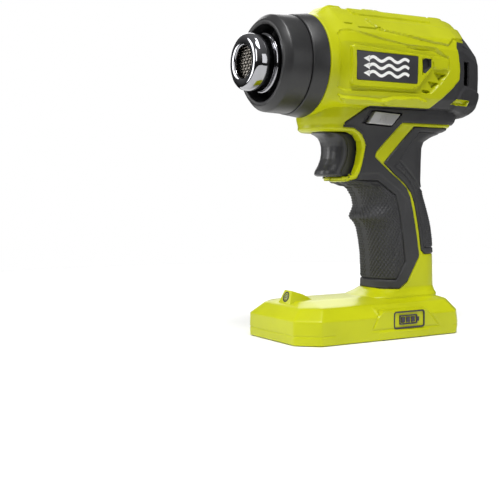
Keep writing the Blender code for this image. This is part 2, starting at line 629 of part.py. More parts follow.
def build_controls():
    """Trigger with its plunger and spring, the switch, and the lock-off slider."""
    heights = [(105.5, 14.4), (106.4, 13.4), (109.1, 13.6), (113.0, 16.1), (117.0, 17.9), (121.0, 18.6),
               (124.9, 18.5), (128.0, 17.6), (130.6, 16.0), (132.4, 13.4), (133.9, 8.6)]
    rear, half_width, front_r, rear_r = 44.0, 11.2, 9.5, 1.5
    rings = []
    for z, front in heights:
        ring = []
        for x, s, radius, start in ((half_width - rear_r, rear - rear_r, rear_r, 0),
                                    (rear_r - half_width, rear - rear_r, rear_r, 90),
                                    (front_r - half_width, front + front_r, front_r, 180),
                                    (half_width - front_r, front + front_r, front_r, 270)):
            for k in range(6):
                angle = math.radians(start + 18 * k)
                ring.append((x + radius * math.cos(angle), s + radius * math.sin(angle), z))
        rings.append(ring)
    loft("trigger", rings, "trigger_plastic", 35)
    rod("trigger_plunger", (0, 0, 118), (0, 1, 0), 2.5, 44.3, 58.0, "switch_plastic", 16)
    helix = []
    turns, steps, start, end = 4, 12, 45.6, 55.2
    for k in range(turns * steps + 1):
        angle = 2 * math.pi * k / steps
        helix.append((4.4 * math.cos(angle), start + (end - start) * k / (turns * steps),
                      118 + 4.4 * math.sin(angle)))
    swept("trigger_spring", helix, 0.4, "spring_steel", 5)
    body = box("switch_body", (-8, 56, 104.2), (8, 80, 128), "switch_plastic")
    combine(body, rod("plunger_way", (0, 0, 118), (0, 1, 0), 3.1, 54, 68, "switch_plastic", 16), "DIFFERENCE")
    prism("lock_slider", LOCK_OUTLINE, -22.8, 22.8, "silver_plastic")


def build_electrics():
    """Battery terminals, control board, lamp and the leads between them."""
    half, front, rear, top = SOCKET
    block = box("terminal_block", (-10.2, front + 2.6, top + 1), (10.2, 91.0, top + 12), "terminal_plastic")
    for name, x in (("terminal_blade_left", 5.5), ("terminal_blade_right", -5.5)):
        slot = box("slot", (x - 0.8, 74.7, top), (x + 0.8, 84.3, top + 6.3), "terminal_plastic")
        combine(block, slot, "DIFFERENCE")
        box(name, (x - 0.5, 75, top - 12), (x + 0.5, 84, top + 6), "terminal_brass")
    box("control_board", (-9.8, 62.5, 80), (-8.2, 83, 101), "circuit_board")
    rod("capacitor", (-3.8, 73, 0), (0, 0, 1), 4.0, 82, 98, "switch_plastic", 20)
    rod("lamp_lens", LAMP, LAMP_DIRECTION, 2.4, -3.2, 0.5, "lamp_lens", 20)
    rod("lamp_board", LAMP, LAMP_DIRECTION, 2.3, -4.8, -3.5, "circuit_board", 16)
    lamp_lead = [(0, -6.6, 25.5), (0, -3.4, 24.3), (0, -0.4, 22.4), (0, 3, 20.7), (0, 14, 20.8), (0, 24, 19.5),
                 (0, 40, 16.5), (0, 54, 15.6), (0, 59.6, 19), (0, 60, 30), (0, 60, 60), (0, 60.4, 74),
                 (-3, 59.0, 79), (-6.6, 60.6, 84)]
    swept("lamp_lead", smooth_route(lamp_lead, 2), 0.6, "wire_white", 5)
    red = [(6, 74, top + 12.4), (6.4, 73, 82), (6.6, 70, 92), (4, 67, 100.5), (4, 67, 103.2)]
    swept("battery_lead_red", smooth_route(red, 3), 1.1, "wire_red", 6)
    black = [(3.6, 87, top + 12.4), (4.2, 87, 82), (5.0, 84.5, 93), (5.0, 83.6, 104), (5, 83.2, 112),
             (4, 81.6, 117)]
    swept("battery_lead_black", smooth_route(black, 3), 1.1, "wire_black", 6)
    for side, name in ((1, "left"), (-1, "right")):
        heater = [(5, 75, 128.6), (7, 74.5, 134), (9, 70, 143), (11.5, 68, 149), (14, 65, 154.5), (19, 60, 160),
                  (23.8, 54, 168), (24.0, 46, 184), (16, 41.5, 195), (9.2, 40, 200.4), (7, 40, 200.9)]
        route = smooth_route([(side * x, s, z) for x, s, z in heater], 3)
        swept("heater_lead_" + name, route, 0.9, "wire_white", 5)
        motor = [(5, 78.5, 128.8), (6, 81, 136), (7, 90, 143.5), (7, 99, 149.2), (7, 107, 151.8), (7, 116, 153.6),
                 (6.8, 124, 157), (6.5, 127.0, 162.6)]
        route = smooth_route([(side * x, s, z) for x, s, z in motor], 3)
        swept("motor_lead_" + name, route, 0.8, "wire_red" if side > 0 else "wire_black", 5)


def build_trim():
    """Name plates, foot badges and the housing screws."""
    for side, name in ((1, "left"), (-1, "right")):
        prism("name_plate_" + name, PLATE_OUTLINE, side * 31.7, side * 32.7, "plate_grey")
        prism("badge_" + name, BADGE_OUTLINE, side * 38.5, side * 39.2, "badge_print")
    for number, (s, z) in enumerate(SCREWS, 1):
        profile = [(0, -12.4), (2.4, -12.4), (3.3, -11.6), (3.3, -10.3), (1.4, -10.3), (1.4, 8.0), (0, 8.6)]
        turned("screw_%d" % number, profile, (0, s, z), (1, 0, 0), "screw_steel", 16)


def set_origins():
    """Put the origin of each moving piece on its joint's axis."""
    pivots = {"fan_impeller": (0, 88.5, AXIS_Z), "fan_shaft": (0, 88.5, AXIS_Z), "trigger": (0, 30, 118),
              "trigger_plunger": (0, 44, 118), "lock_slider": (0, 50.3, 143.3)}
    for name, pivot in pivots.items():
        piece = bpy.data.objects[name]
        piece.data.transform(Matrix.Translation(-place(*pivot)))
        piece.location = place(*pivot)


def main():
    for old in list(bpy.data.objects):
        bpy.data.objects.remove(old)
    build_shell()
    build_front()
    build_heater()
    build_fan()
    build_controls()
    build_electrics()
    build_trim()
    set_origins()


main()
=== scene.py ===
import json
import math

import bmesh
import bpy
import numpy as np
from mathutils import Matrix, Vector


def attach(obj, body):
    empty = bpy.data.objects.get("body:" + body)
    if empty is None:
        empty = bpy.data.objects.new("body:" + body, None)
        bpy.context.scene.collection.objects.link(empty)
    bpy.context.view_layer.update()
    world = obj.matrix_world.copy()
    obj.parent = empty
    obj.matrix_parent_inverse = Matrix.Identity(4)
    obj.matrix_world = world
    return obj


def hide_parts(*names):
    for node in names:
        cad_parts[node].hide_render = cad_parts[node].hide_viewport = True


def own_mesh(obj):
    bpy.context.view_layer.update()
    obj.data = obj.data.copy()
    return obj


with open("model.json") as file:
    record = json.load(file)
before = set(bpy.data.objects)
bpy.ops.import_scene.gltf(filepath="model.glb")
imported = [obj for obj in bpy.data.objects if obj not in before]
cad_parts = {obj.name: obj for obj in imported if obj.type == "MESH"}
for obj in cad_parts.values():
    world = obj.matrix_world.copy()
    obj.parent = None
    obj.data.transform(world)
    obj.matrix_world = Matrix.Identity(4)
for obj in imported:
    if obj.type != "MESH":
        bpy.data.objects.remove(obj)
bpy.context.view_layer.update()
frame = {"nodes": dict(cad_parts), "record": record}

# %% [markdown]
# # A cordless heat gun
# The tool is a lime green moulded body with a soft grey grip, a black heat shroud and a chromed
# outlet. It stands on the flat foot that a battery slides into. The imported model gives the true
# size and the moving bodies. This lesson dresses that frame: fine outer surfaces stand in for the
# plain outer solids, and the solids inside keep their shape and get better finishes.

MM = 0.001
SEAT_Y = -50.1        # row Y of station 0, the seat of the shroud on the body
AXIS_Z = 176.5        # height of the heater and fan axis


def metres(places):
    """Places (x, s, z) in millimetres, s counted back from the shroud seat, as row metres."""
    return (np.asarray(places, float) + (0.0, SEAT_Y, 0.0)) * MM


# %% [markdown]
# ## Camera
# The tool is seen from its left front, a little above the foot and from about 0.6 m, so the near
# flank is large and the barrel tapers away. A 68 mm lens on a 36 mm frame gives that taper. The
# camera is turned by its yaw, pitch and a trace of roll, which is easier to reason about than a
# target point.

# %% Camera
CAMERA_PLACE = (0.5134, -0.3903, 0.0968)
YAW, PITCH, ROLL = math.radians(59.64), math.radians(-3.65), math.radians(-0.19)
LENS_MM = 67.83
forward = Vector((-math.sin(YAW) * math.cos(PITCH), math.cos(YAW) * math.cos(PITCH), math.sin(PITCH)))
right = Vector((math.cos(YAW), math.sin(YAW), 0.0))
above = right.cross(forward)
right, above = (right * math.cos(ROLL) + above * math.sin(ROLL),
                above * math.cos(ROLL) - right * math.sin(ROLL))
lens = bpy.data.cameras.new("camera")
lens.lens, lens.sensor_width, lens.clip_start = LENS_MM, 36.0, 0.01
camera = bpy.data.objects.new("camera", lens)
camera.matrix_world = Matrix((
    (right.x, above.x, -forward.x, CAMERA_PLACE[0]), (right.y, above.y, -forward.y, CAMERA_PLACE[1]),
    (right.z, above.z, -forward.z, CAMERA_PLACE[2]), (0, 0, 0, 1)))
bpy.context.scene.collection.objects.link(camera)
bpy.context.scene.camera = camera
print("camera looks along", [round(v, 3) for v in forward])

# %% [markdown]
# ## Colours and nodes
# Plastic makers give a colour as a hex value for the screen, which is not linear light, so one
# function turns it. One more function adds a shader node with its settings and its links.

# %% Colour and node helpers


def linear(hex_colour):
    """A screen hex colour as linear red, green, blue and alpha."""
    channels = [int(hex_colour[i:i + 2], 16) / 255 for i in (1, 3, 5)]
    return (*[c / 12.92 if c <= 0.04045 else ((c + 0.055) / 1.055) ** 2.4 for c in channels], 1.0)


def add_node(tree, kind, settings=None, links=None, **attributes):
    """Add a node: socket values, links as (node, output), and plain attributes."""
    node = tree.nodes.new(kind)
    for name, value in attributes.items():
        setattr(node, name, value)
    for socket, value in (settings or {}).items():
        node.inputs[socket].default_value = value
    for socket, (source, output) in (links or {}).items():
        tree.links.new(source.outputs[output], node.inputs[socket])
    return node


print("mid grey in linear light", round(linear("#808080")[0], 3))

# %% [markdown]
# A material starts with its even settings, and a node that turns an object's own coordinates into
# millimetres. Three more helpers let a pattern drive its colour, its gloss and its relief.

# %% Material helpers


def new_material(name, settings):
    """A material with its Principled shader set, and a node for place in millimetres."""
    made = bpy.data.materials.new(name)
    made.use_nodes = True
    tree = made.node_tree
    shader = tree.nodes["Principled BSDF"]
    for socket, value in settings.items():
        shader.inputs[socket].default_value = value
    place = add_node(tree, "ShaderNodeTexCoord")
    scaled = add_node(tree, "ShaderNodeMapping", {"Scale": (1000, 1000, 1000)}, {"Vector": (place, "Object")})
    return made, tree, shader, scaled


def toned(tree, shader, fac, dark, light, low=0.35, high=0.65):
    """Drive the base colour between two close tones from a pattern."""
    ramp = add_node(tree, "ShaderNodeValToRGB", links={"Fac": fac})
    ramp.color_ramp.elements[0].position, ramp.color_ramp.elements[1].position = low, high
    ramp.color_ramp.elements[0].color, ramp.color_ramp.elements[1].color = linear(dark), linear(light)
    tree.links.new(ramp.outputs["Color"], shader.inputs["Base Color"])


def ranged(tree, shader, socket, fac, low, high):
    """Drive a number, such as roughness, between two values from a pattern."""
    reach = add_node(tree, "ShaderNodeMapRange", {"From Min": 0.3, "From Max": 0.7, "To Min": low,
                                                  "To Max": high}, {"Value": fac})
    tree.links.new(reach.outputs["Result"], shader.inputs[socket])


def relief(tree, shader, height, depth_mm, strength=1.0):
    """Tilt the surface by a pattern that is so many millimetres deep."""
    bump = add_node(tree, "ShaderNodeBump", {"Strength": strength, "Distance": depth_mm * MM},
                    {"Height": height})
    tree.links.new(bump.outputs["Normal"], shader.inputs["Normal"])


def noise(tree, scaled, size_mm, detail=2.0, stretch=(1, 1, 1)):
    """Soft random spots of a size in millimetres, stretched along an axis if asked."""
    frequency = 1.0 / size_mm
    source = add_node(tree, "ShaderNodeVectorMath", {1: stretch}, {0: (scaled, "Vector")},
                      operation="MULTIPLY")
    return add_node(tree, "ShaderNodeTexNoise", {"Scale": frequency, "Detail": detail},
                    {"Vector": (source, "Vector")})


finishes = {}
print("material helpers are ready, finishes so far:", len(finishes))

# %% [markdown]
# ## Moulded plastics and rubber
# The body is ABS, moulded in a spark-eroded tool. That leaves a very fine even grain, so its
# highlights are wide and soft rather than mirror-like. The grip is a soft thermoplastic rubber
# moulded over it, matt and slightly dusty. The shroud is glass-filled nylon, which takes the heat
# and has a satin black skin. All three are one recipe with different numbers: two close tones in
# wide soft patches, and a fine grain in both the surface and its roughness. Real grain is about
# 0.1 mm, and is drawn at 0.3 mm and more so that it shows.

# %% Moulded finishes


def moulded(name, slot, dark, light, roughness, grain_mm, grain_depth_mm, patch_mm=28.0, ior=1.5, **more):
    """Moulded plastic or rubber with a spark-eroded grain."""
    settings = {"IOR": ior, **more}
    made, tree, shader, scaled = new_material(name, settings)
    patches = noise(tree, scaled, patch_mm, 3.0)
    grain = noise(tree, scaled, grain_mm, 2.0)
    toned(tree, shader, (patches, "Fac"), dark, light)
    ranged(tree, shader, "Roughness", (grain, "Fac"), roughness - 0.05, roughness + 0.05)
    relief(tree, shader, (grain, "Fac"), grain_depth_mm, 0.5)
    finishes[slot] = made
    return made


lime_abs = moulded("lime_moulded_abs", "lime_shell", "#B1B602", "#BBC004", 0.34, 0.35, 0.02,
                   **{"Specular IOR Level": 0.35})
grey_rubber = moulded("grey_overmoulded_rubber", "soft_grip", "#2B2B2D", "#333335", 0.55, 0.4, 0.04, ior=1.46)
shroud_nylon = moulded("black_glass_filled_nylon", "black_shroud", "#202021", "#272728", 0.38, 0.5, 0.02)
trigger_abs = moulded("black_moulded_abs", "trigger_plastic", "#2C2C2E", "#333336", 0.34, 0.25, 0.004)
silver_paint = moulded("silver_painted_abs", "silver_plastic", "#A2A2A4", "#AEAEB0", 0.34, 0.3, 0.01,
                       Metallic=0.25)
plate_abs = moulded("dark_grey_moulded_plate", "plate_grey", "#303034", "#3A3A3E", 0.36, 0.3, 0.015)
badge_ink = moulded("dark_violet_printed_ink", "badge_print", "#2B2635", "#332D3D", 0.4, 0.4, 0.01)
moulded("grey_duct_nylon", "duct_plastic", "#3A3A3C", "#424245", 0.55, 0.5, 0.03)
moulded("black_fan_nylon", "fan_plastic", "#18181A", "#202022", 0.45, 0.5, 0.03)
moulded("black_switch_nylon", "switch_plastic", "#1B1B1C", "#232324", 0.5, 0.4, 0.03)
moulded("black_terminal_nylon", "terminal_plastic", "#1E1E1F", "#272728", 0.55, 0.4, 0.03)
moulded("red_silicone_insulation", "wire_red", "#B01414", "#BE1E1A", 0.45, 0.4, 0.02)
moulded("black_silicone_insulation", "wire_black", "#161617", "#1E1E1F", 0.45, 0.4, 0.02)
print("moulded finishes:", len(finishes))

# %% [markdown]
# ## Metals, mica and glass
# The outlet is drawn steel tube, nickel and chrome plated: nearly a mirror, with faint marks round
# the tube from drawing. Its tint is set darker than bare chrome, because a real room gives it dark
# walls to mirror and this white studio doesn't. Plain steel and brass parts inside are rolled or
# drawn, so their grain is stretched one way. Metals take their look from a strong tinted
# reflection and keep the default IOR. Mica is a flaky brown mineral sheet. The lead sleeves near
# the heater are woven glass.

# %% Metal finishes


def drawn_metal(name, slot, dark, light, roughness, grain_mm, stretch, depth_mm=0.01):
    """Metal with a grain that is stretched along the way it was drawn or rolled."""
    made, tree, shader, scaled = new_material(name, {"Metallic": 1.0})
    grain = noise(tree, scaled, grain_mm, 3.0, stretch)
    patches = noise(tree, scaled, 12.0, 2.0)
    toned(tree, shader, (patches, "Fac"), dark, light)
    ranged(tree, shader, "Roughness", (grain, "Fac"), roughness * 0.75, roughness * 1.3)
    relief(tree, shader, (grain, "Fac"), depth_mm, 0.3)
    finishes[slot] = made
    return made


chrome = drawn_metal("chromed_drawn_steel", "chromed_steel", "#9A9A9E", "#A6A6AA", 0.06, 1.4, (0.2, 3.0, 0.2),
                     0.001)
wire_steel = drawn_metal("heat_stained_steel", "heat_steel", "#8A847C", "#A39E97", 0.28, 0.6, (1, 0.2, 1))
drawn_metal("oxidised_resistance_wire", "heating_wire", "#7F746C", "#958A80", 0.42, 0.4, (1, 1, 1))
drawn_metal("zinc_plated_steel", "motor_steel", "#B4B4B6", "#C2C2C4", 0.3, 0.5, (1, 0.15, 1))
spring_steel = drawn_metal("bright_spring_steel", "spring_steel", "#BEBEC0", "#CDCDCF", 0.25, 0.3, (1, 1, 1))
drawn_metal("bright_rolled_brass", "terminal_brass", "#CFA75A", "#DDB768", 0.26, 0.3, (1, 1, 0.15))
screw_steel = drawn_metal("black_oxide_steel", "screw_steel", "#4A4A4C", "#59595B", 0.38, 0.4, (1, 1, 1))
print("finishes so far:", len(finishes))

# %% Mica, board, sleeves and lens


def layered(name, slot, dark, light, roughness, flake_mm, stretch, depth_mm, ior=1.55):
    """A flaky, woven or lacquered sheet: cells of a size, stretched, in two tones."""
    made, tree, shader, scaled = new_material(name, {"IOR": ior})
    source = add_node(tree, "ShaderNodeVectorMath", {1: stretch}, {0: (scaled, "Vector")},
                      operation="MULTIPLY")
    cells = add_node(tree, "ShaderNodeTexVoronoi", {"Scale": 1.0 / flake_mm}, {"Vector": (source, "Vector")})
    toned(tree, shader, (cells, "Distance"), dark, light, 0.1, 0.8)
    ranged(tree, shader, "Roughness", (cells, "Distance"), roughness - 0.06, roughness + 0.06)
    relief(tree, shader, (cells, "Distance"), depth_mm, 0.4)
    finishes[slot] = made
    return made


layered("brown_mica_sheet", "mica", "#A58B5E", "#BEA578", 0.5, 1.6, (1, 1, 1), 0.03)
layered("green_lacquered_board", "circuit_board", "#0F5A34", "#17693F", 0.4, 0.8, (1, 1, 1), 0.02)
layered("woven_glass_sleeve", "wire_white", "#CFCDC4", "#E2E0D8", 0.6, 0.4, (1, 1, 1), 0.05)
lens_clear, lens_tree, lens_shader, lens_place = new_material(
    "clear_moulded_polycarbonate", {"Base Color": linear("#C4CACD"), "Transmission Weight": 0.9, "IOR": 1.58})
lens_noise = noise(lens_tree, lens_place, 0.8)
ranged(lens_tree, lens_shader, "Roughness", (lens_noise, "Fac"), 0.04, 0.12)
relief(lens_tree, lens_shader, (lens_noise, "Fac"), 0.02, 0.4)
finishes["lamp_lens"] = lens_clear
mark_white = moulded("warm_white_printed_ink", "mark_white", "#F2F2F0", "#F8F8F6", 0.4, 0.4, 0.01)
print("finishes in all:", sorted(finishes))

# %% [markdown]
# ## Studio
# The tool stands on a round sheet of pale paper under a white sky, so there is no horizon to see.
# A wide ceiling light gives most of the light and shapes the top, the flank and the darker belly.
# One large soft lamp on the nozzle side makes the broad pale highlight on the front of the body, a
# long one above draws the bright window on the shroud, one on the far side of the nozzle lights
# every face that looks forward, and one behind keeps the back readable.

# %% Floor
floor_material, floor_tree, floor_shader, floor_place = new_material("pale_paper", {"Roughness": 0.9})
floor_noise = noise(floor_tree, floor_place, 60.0)
toned(floor_tree, floor_shader, (floor_noise, "Fac"), "#F8F8F7", "#FBFBFA")
bm = bmesh.new()
bmesh.ops.create_circle(bm, cap_ends=True, radius=0.6, segments=96)
floor_mesh = bpy.data.meshes.new("floor")
bm.to_mesh(floor_mesh)
bm.free()
floor_mesh.materials.append(floor_material)
floor = bpy.data.objects.new("floor", floor_mesh)
floor.location = (0, 0, -0.0004)
bpy.context.scene.collection.objects.link(floor)


print("floor is", round(floor.dimensions.x, 2), "m across")

# %% Lamps


def lamp(name, place, target, size, watts):
    """A soft rectangular lamp that points at a target."""
    light = bpy.data.lights.new(name, "AREA")
    light.shape, light.size, light.size_y = "RECTANGLE", size[0], size[1]
    light.energy = watts
    made = bpy.data.objects.new(name, light)
    made.location = place
    made.rotation_euler = (Vector(target) - Vector(place)).to_track_quat("-Z", "Y").to_euler()
    bpy.context.scene.collection.objects.link(made)
    return made


lamp("key_lamp", (0.30, -1.25, 0.55), (0, -0.02, 0.12), (0.45, 0.7), 3.4)
lamp("top_lamp", (0.30, -0.08, 1.0), (0, 0, 0.15), (0.22, 0.8), 3.6)
lamp("side_lamp", (1.3, 0.55, 0.40), (0, 0.02, 0.1), (0.4, 0.8), 1.8)
lamp("front_lamp", (-0.75, -1.0, 0.40), (0, -0.03, 0.12), (0.5, 0.8), 6.0)
lamp("back_lamp", (-1.0, 0.5, 0.6), (0, 0.02, 0.12), (0.7, 0.7), 4.0)
ceiling = bpy.data.lights.new("ceiling_lamp", "SUN")
ceiling.energy, ceiling.angle = 1.95, math.radians(25)
ceiling_lamp = bpy.data.objects.new("ceiling_lamp", ceiling)
ceiling_lamp.rotation_euler = Vector((0.38, -0.22, 0.9)).to_track_quat("Z", "Y").to_euler()
bpy.context.scene.collection.objects.link(ceiling_lamp)
print("lamps:", [light.name for light in bpy.data.lights])

# %% [markdown]
# The white sky is what the background shows. Everything that is lit by it gets a dimmer sky that
# is brightest overhead, so that the shading of the tool comes from the lamps.

# %% Sky
sky = bpy.data.worlds.new("sky")
sky.use_nodes = True
sky_tree = sky.node_tree
plain = sky_tree.nodes["Background"]
plain.inputs["Color"].default_value, plain.inputs["Strength"].default_value = (1.0, 1.0, 1.0, 1.0), 1.0
height = add_node(sky_tree, "ShaderNodeTexCoord")
split = add_node(sky_tree, "ShaderNodeSeparateXYZ", links={0: (height, "Generated")})
fade = add_node(sky_tree, "ShaderNodeMapRange", {"From Min": -0.1, "From Max": 0.9, "To Min": 0.03,
                                                 "To Max": 0.34}, {"Value": (split, "Z")})
soft = add_node(sky_tree, "ShaderNodeBackground", links={"Strength": (fade, "Result")})
rays = add_node(sky_tree, "ShaderNodeLightPath")
mixed = add_node(sky_tree, "ShaderNodeMixShader", links={0: (rays, "Is Camera Ray"), 1: (soft, "Background"),
                                                         2: (plain, "Background")})
sky_tree.links.new(mixed.outputs["Shader"], sky_tree.nodes["World Output"].inputs["Surface"])
bpy.context.scene.world = sky
bpy.context.scene.view_settings.view_transform = "Standard"
print("sky nodes:", len(sky_tree.nodes))

# %% [markdown]
# ## Mesh tools
# The body is a smooth master surface with everything else cut into it or raised from it: steps,
# grooves, vents and the border of the soft grip. So the body is made as a fine grid of points.
# Each point knows its side view place, and the side view outlines say how far it moves along the
# surface's normal. Points close to an outline are first slid onto it, which keeps borders clean.
# Every piece is then a closed shell with a real wall thickness.

# %% Outlines in the side view


def to_outline(points, outline, closed=True):
    """Distance to an outline, more than 0 inside it, and the nearest place on it."""
    a = np.asarray(outline, float)
    b = np.roll(a, -1, 0)
    if not closed:
        a, b = a[:-1], b[:-1]
    edge = b - a
    offset = points[:, None, :] - a
    t = np.clip((offset * edge).sum(2) / (edge ** 2).sum(1), 0, 1)
    nearest = a + t[..., None] * edge
    gap = np.linalg.norm(points[:, None, :] - nearest, axis=2)
    best = gap.argmin(1)
    rows = np.arange(len(points))
    distance, nearest = gap[rows, best], nearest[rows, best]
    if not closed:
        return -distance, nearest
    y = points[:, 1][:, None]
    straddles = (a[:, 1] > y) != (b[:, 1] > y)
    rise = np.where(np.abs(edge[:, 1]) < 1e-9, 1e-9, edge[:, 1])
    cross = a[:, 0] + (y - a[:, 1]) * edge[:, 0] / rise
    inside = ((points[:, 0][:, None] < cross) & straddles).sum(1) % 2 == 1
    return np.where(inside, distance, -distance), nearest


def circle_outline(centre, radius, sides=28):
    """A round outline in the side view."""
    turns = np.arange(sides) * 2 * np.pi / sides
    return np.stack([centre[0] + radius * np.cos(turns), centre[1] + radius * np.sin(turns)], 1)


def grown(outline, distance):
    """Move every edge of a closed outline outwards by a distance."""
    a = np.asarray(outline, float)
    before, after = a - np.roll(a, 1, 0), np.roll(a, -1, 0) - a
    area = (a[:, 0] * np.roll(a, -1, 0)[:, 1] - np.roll(a, -1, 0)[:, 0] * a[:, 1]).sum()
    sign = 1 if area > 0 else -1
    n1 = np.stack([before[:, 1], -before[:, 0]], 1) / np.linalg.norm(before, axis=1)[:, None]
    n2 = np.stack([after[:, 1], -after[:, 0]], 1) / np.linalg.norm(after, axis=1)[:, None]
    mitre = (n1 + n2) / np.linalg.norm(n1 + n2, axis=1)[:, None]
    return a + sign * mitre * distance / np.maximum(0.35, (mitre * n1).sum(1))[:, None]


wider = grown(circle_outline((0, 0), 4), 1)
print("a circle of 4 mm grown by 1 mm reaches", wider[:, 0].max().round(2), "mm")

# %% Grids of points


def resampled(line, count):
    """A line of points with a new count, evenly spaced along it."""
    steps = np.r_[0, np.cumsum(np.linalg.norm(np.diff(line, axis=0), axis=1))]
    at = np.linspace(0, steps[-1], count)
    return np.stack([np.interp(at, steps, line[:, c]) for c in range(line.shape[1])], 1)


def rounded_table(rows, keys, width):
    """Read a table at many keys, with the corners between its rows rounded over a width."""
    rows = np.array(sorted(rows), float)
    step = 0.2
    fine = np.arange(rows[0, 0] - width, rows[-1, 0] + width, step)
    kernel = np.hanning(max(3, int(width / step)) + 2)[1:-1]
    kernel /= kernel.sum()
    out = []
    for c in range(1, rows.shape[1]):
        line = np.interp(fine, rows[:, 0], rows[:, c])
        padded = np.pad(line, len(kernel), "edge")
        line = np.convolve(padded, kernel, "same")[len(kernel):-len(kernel)]
        out.append(np.interp(keys, fine, line))
    return np.stack(out, 1)


print("a 3 mm line in 4 points:", resampled(np.array([(0, 0), (3, 0)]), 4)[:, 0])

# %% [markdown]
# A grid point is moved within the surface, never off it, so that it sits on an outline that runs
# near it. The share of each grid direction that does this comes from a small pair of equations.

# %% Normals and sliding to outlines


def grid_normals(grid):
    """Unit normals of a grid of half a body, pointing away from its middle."""
    along, around = np.gradient(grid, axis=0), np.gradient(grid, axis=1)
    normals = np.cross(along, around)
    normals[:, 0, 0] = normals[:, -1, 0] = 0.0
    length = np.linalg.norm(normals, axis=2, keepdims=True)
    normals = normals / np.maximum(length, 1e-9)
    middle = normals[len(grid) // 2, grid.shape[1] // 2]
    return normals if middle[0] > 0 else -normals


def slide_to_outlines(grid, normals, outlines, reach):
    """Slide grid points that lie within reach of an outline onto it. Says which ones moved."""
    flat = grid.reshape(-1, 3)
    points = flat[:, 1:]
    best = np.full(len(flat), reach)
    shift = np.zeros((len(flat), 2))
    for outline in outlines:
        distance, nearest = to_outline(points, outline)
        closer = np.abs(distance) < best
        best = np.where(closer, np.abs(distance), best)
        shift[closer] = (nearest - points)[closer]
    along = np.gradient(grid, axis=0).reshape(-1, 3)
    around = np.gradient(grid, axis=1).reshape(-1, 3)
    det = along[:, 1] * around[:, 2] - along[:, 2] * around[:, 1]
    steady = (best < reach) & (np.abs(normals.reshape(-1, 3)[:, 0]) > 0.3) & (np.abs(det) > 1e-6)
    safe = np.where(steady, det, 1.0)
    a = (shift[:, 0] * around[:, 2] - shift[:, 1] * around[:, 1]) / safe
    b = (along[:, 1] * shift[:, 1] - along[:, 2] * shift[:, 0]) / safe
    steady &= (np.abs(a) < 1.2) & (np.abs(b) < 1.2)
    moved = flat + (along * a[:, None] + around * b[:, None]) * steady[:, None]
    return moved.reshape(grid.shape), steady.reshape(grid.shape[:2])


def grid_faces(moved):
    """Quads of a grid, split along the diagonal that follows an outline, and their corners."""
    rows, columns = moved.shape
    index = np.arange(rows * columns).reshape(rows, columns)
    a, b = index[:-1, :-1].ravel(), index[:-1, 1:].ravel()
    c, d = index[1:, 1:].ravel(), index[1:, :-1].ravel()
    m = moved.ravel()
    first = m[a] & m[c] & ~(m[b] & m[d])
    second = m[b] & m[d] & ~(m[a] & m[c])
    plain = ~(first | second)
    faces = [(*q,) for q in np.stack([a, b, c, d], 1)[plain].tolist()]
    for chosen, (p, q, r, t) in ((first, (a, b, c, d)), (second, (b, c, d, a))):
        faces += np.stack([p, q, r], 1)[chosen].tolist() + np.stack([p, r, t], 1)[chosen].tolist()
    return [tuple(face) for face in faces]


print("a grid of 3 by 3 has", len(grid_faces(np.zeros((3, 3), bool))), "faces")

# %% Closed shells


def ring_faces(rings, count, joined=False):
    """Quads between neighbouring rings of points, and back to the first ring if joined."""
    return [(i * count + k, i * count + (k + 1) % count, j * count + (k + 1) % count, j * count + k)
            for i, j in zip(range(rings), [*range(1, rings), *([0] if joined else [])])
            for k in range(count)]


def end_faces(rings, count):
    """One face on the first ring and one on the last."""
    return [tuple(range(count)), tuple(range((rings - 1) * count, rings * count))]


def face_centres(places, faces):
    """The middle of each face."""
    return np.array([places[list(face)].mean(0) for face in faces])


def shell_of(places, normals, faces, thickness):
    """Close a set of faces into a shell by adding an inner skin and a rim."""
    used = np.unique(np.concatenate([np.array(f) for f in faces]))
    renumber = np.full(len(places), -1)
    renumber[used] = np.arange(len(used))
    outer = [tuple(int(renumber[i]) for i in f) for f in faces]
    points = places[used]
    inner = points - normals[used] * thickness
    count = len(used)
    edges = {}
    for f in outer:
        for i, j in zip(f, f[1:] + f[:1]):
            edges[(i, j)] = edges.get((i, j), 0) + 1
    rim = [(j, i, i + count, j + count) for (i, j) in edges if (j, i) not in edges]
    back = [tuple(i + count for i in reversed(f)) for f in outer]
    return np.concatenate([points, inner]), outer + back + rim


def join_parts(parts):
    """One set of places and faces from several."""
    places, faces, start = [], [], 0
    for p, f in parts:
        places.append(np.asarray(p, float))
        faces += [tuple(i + start for i in face) for face in f]
        start += len(p)
    return np.concatenate(places), faces


one_square = shell_of(np.eye(4, 3), np.eye(4, 3), [(0, 1, 2, 3)], 1.0)
print("a shell of one square has", len(one_square[1]), "faces")

# %% [markdown]
# Each piece is one object. It gets its mesh, its finish, the body that it rides on, and the names
# of the plain solids that it stands for. Bevelled edges are applied at once, and only edges under
# a limit angle are shaded as one smooth surface.

# %% Making an object


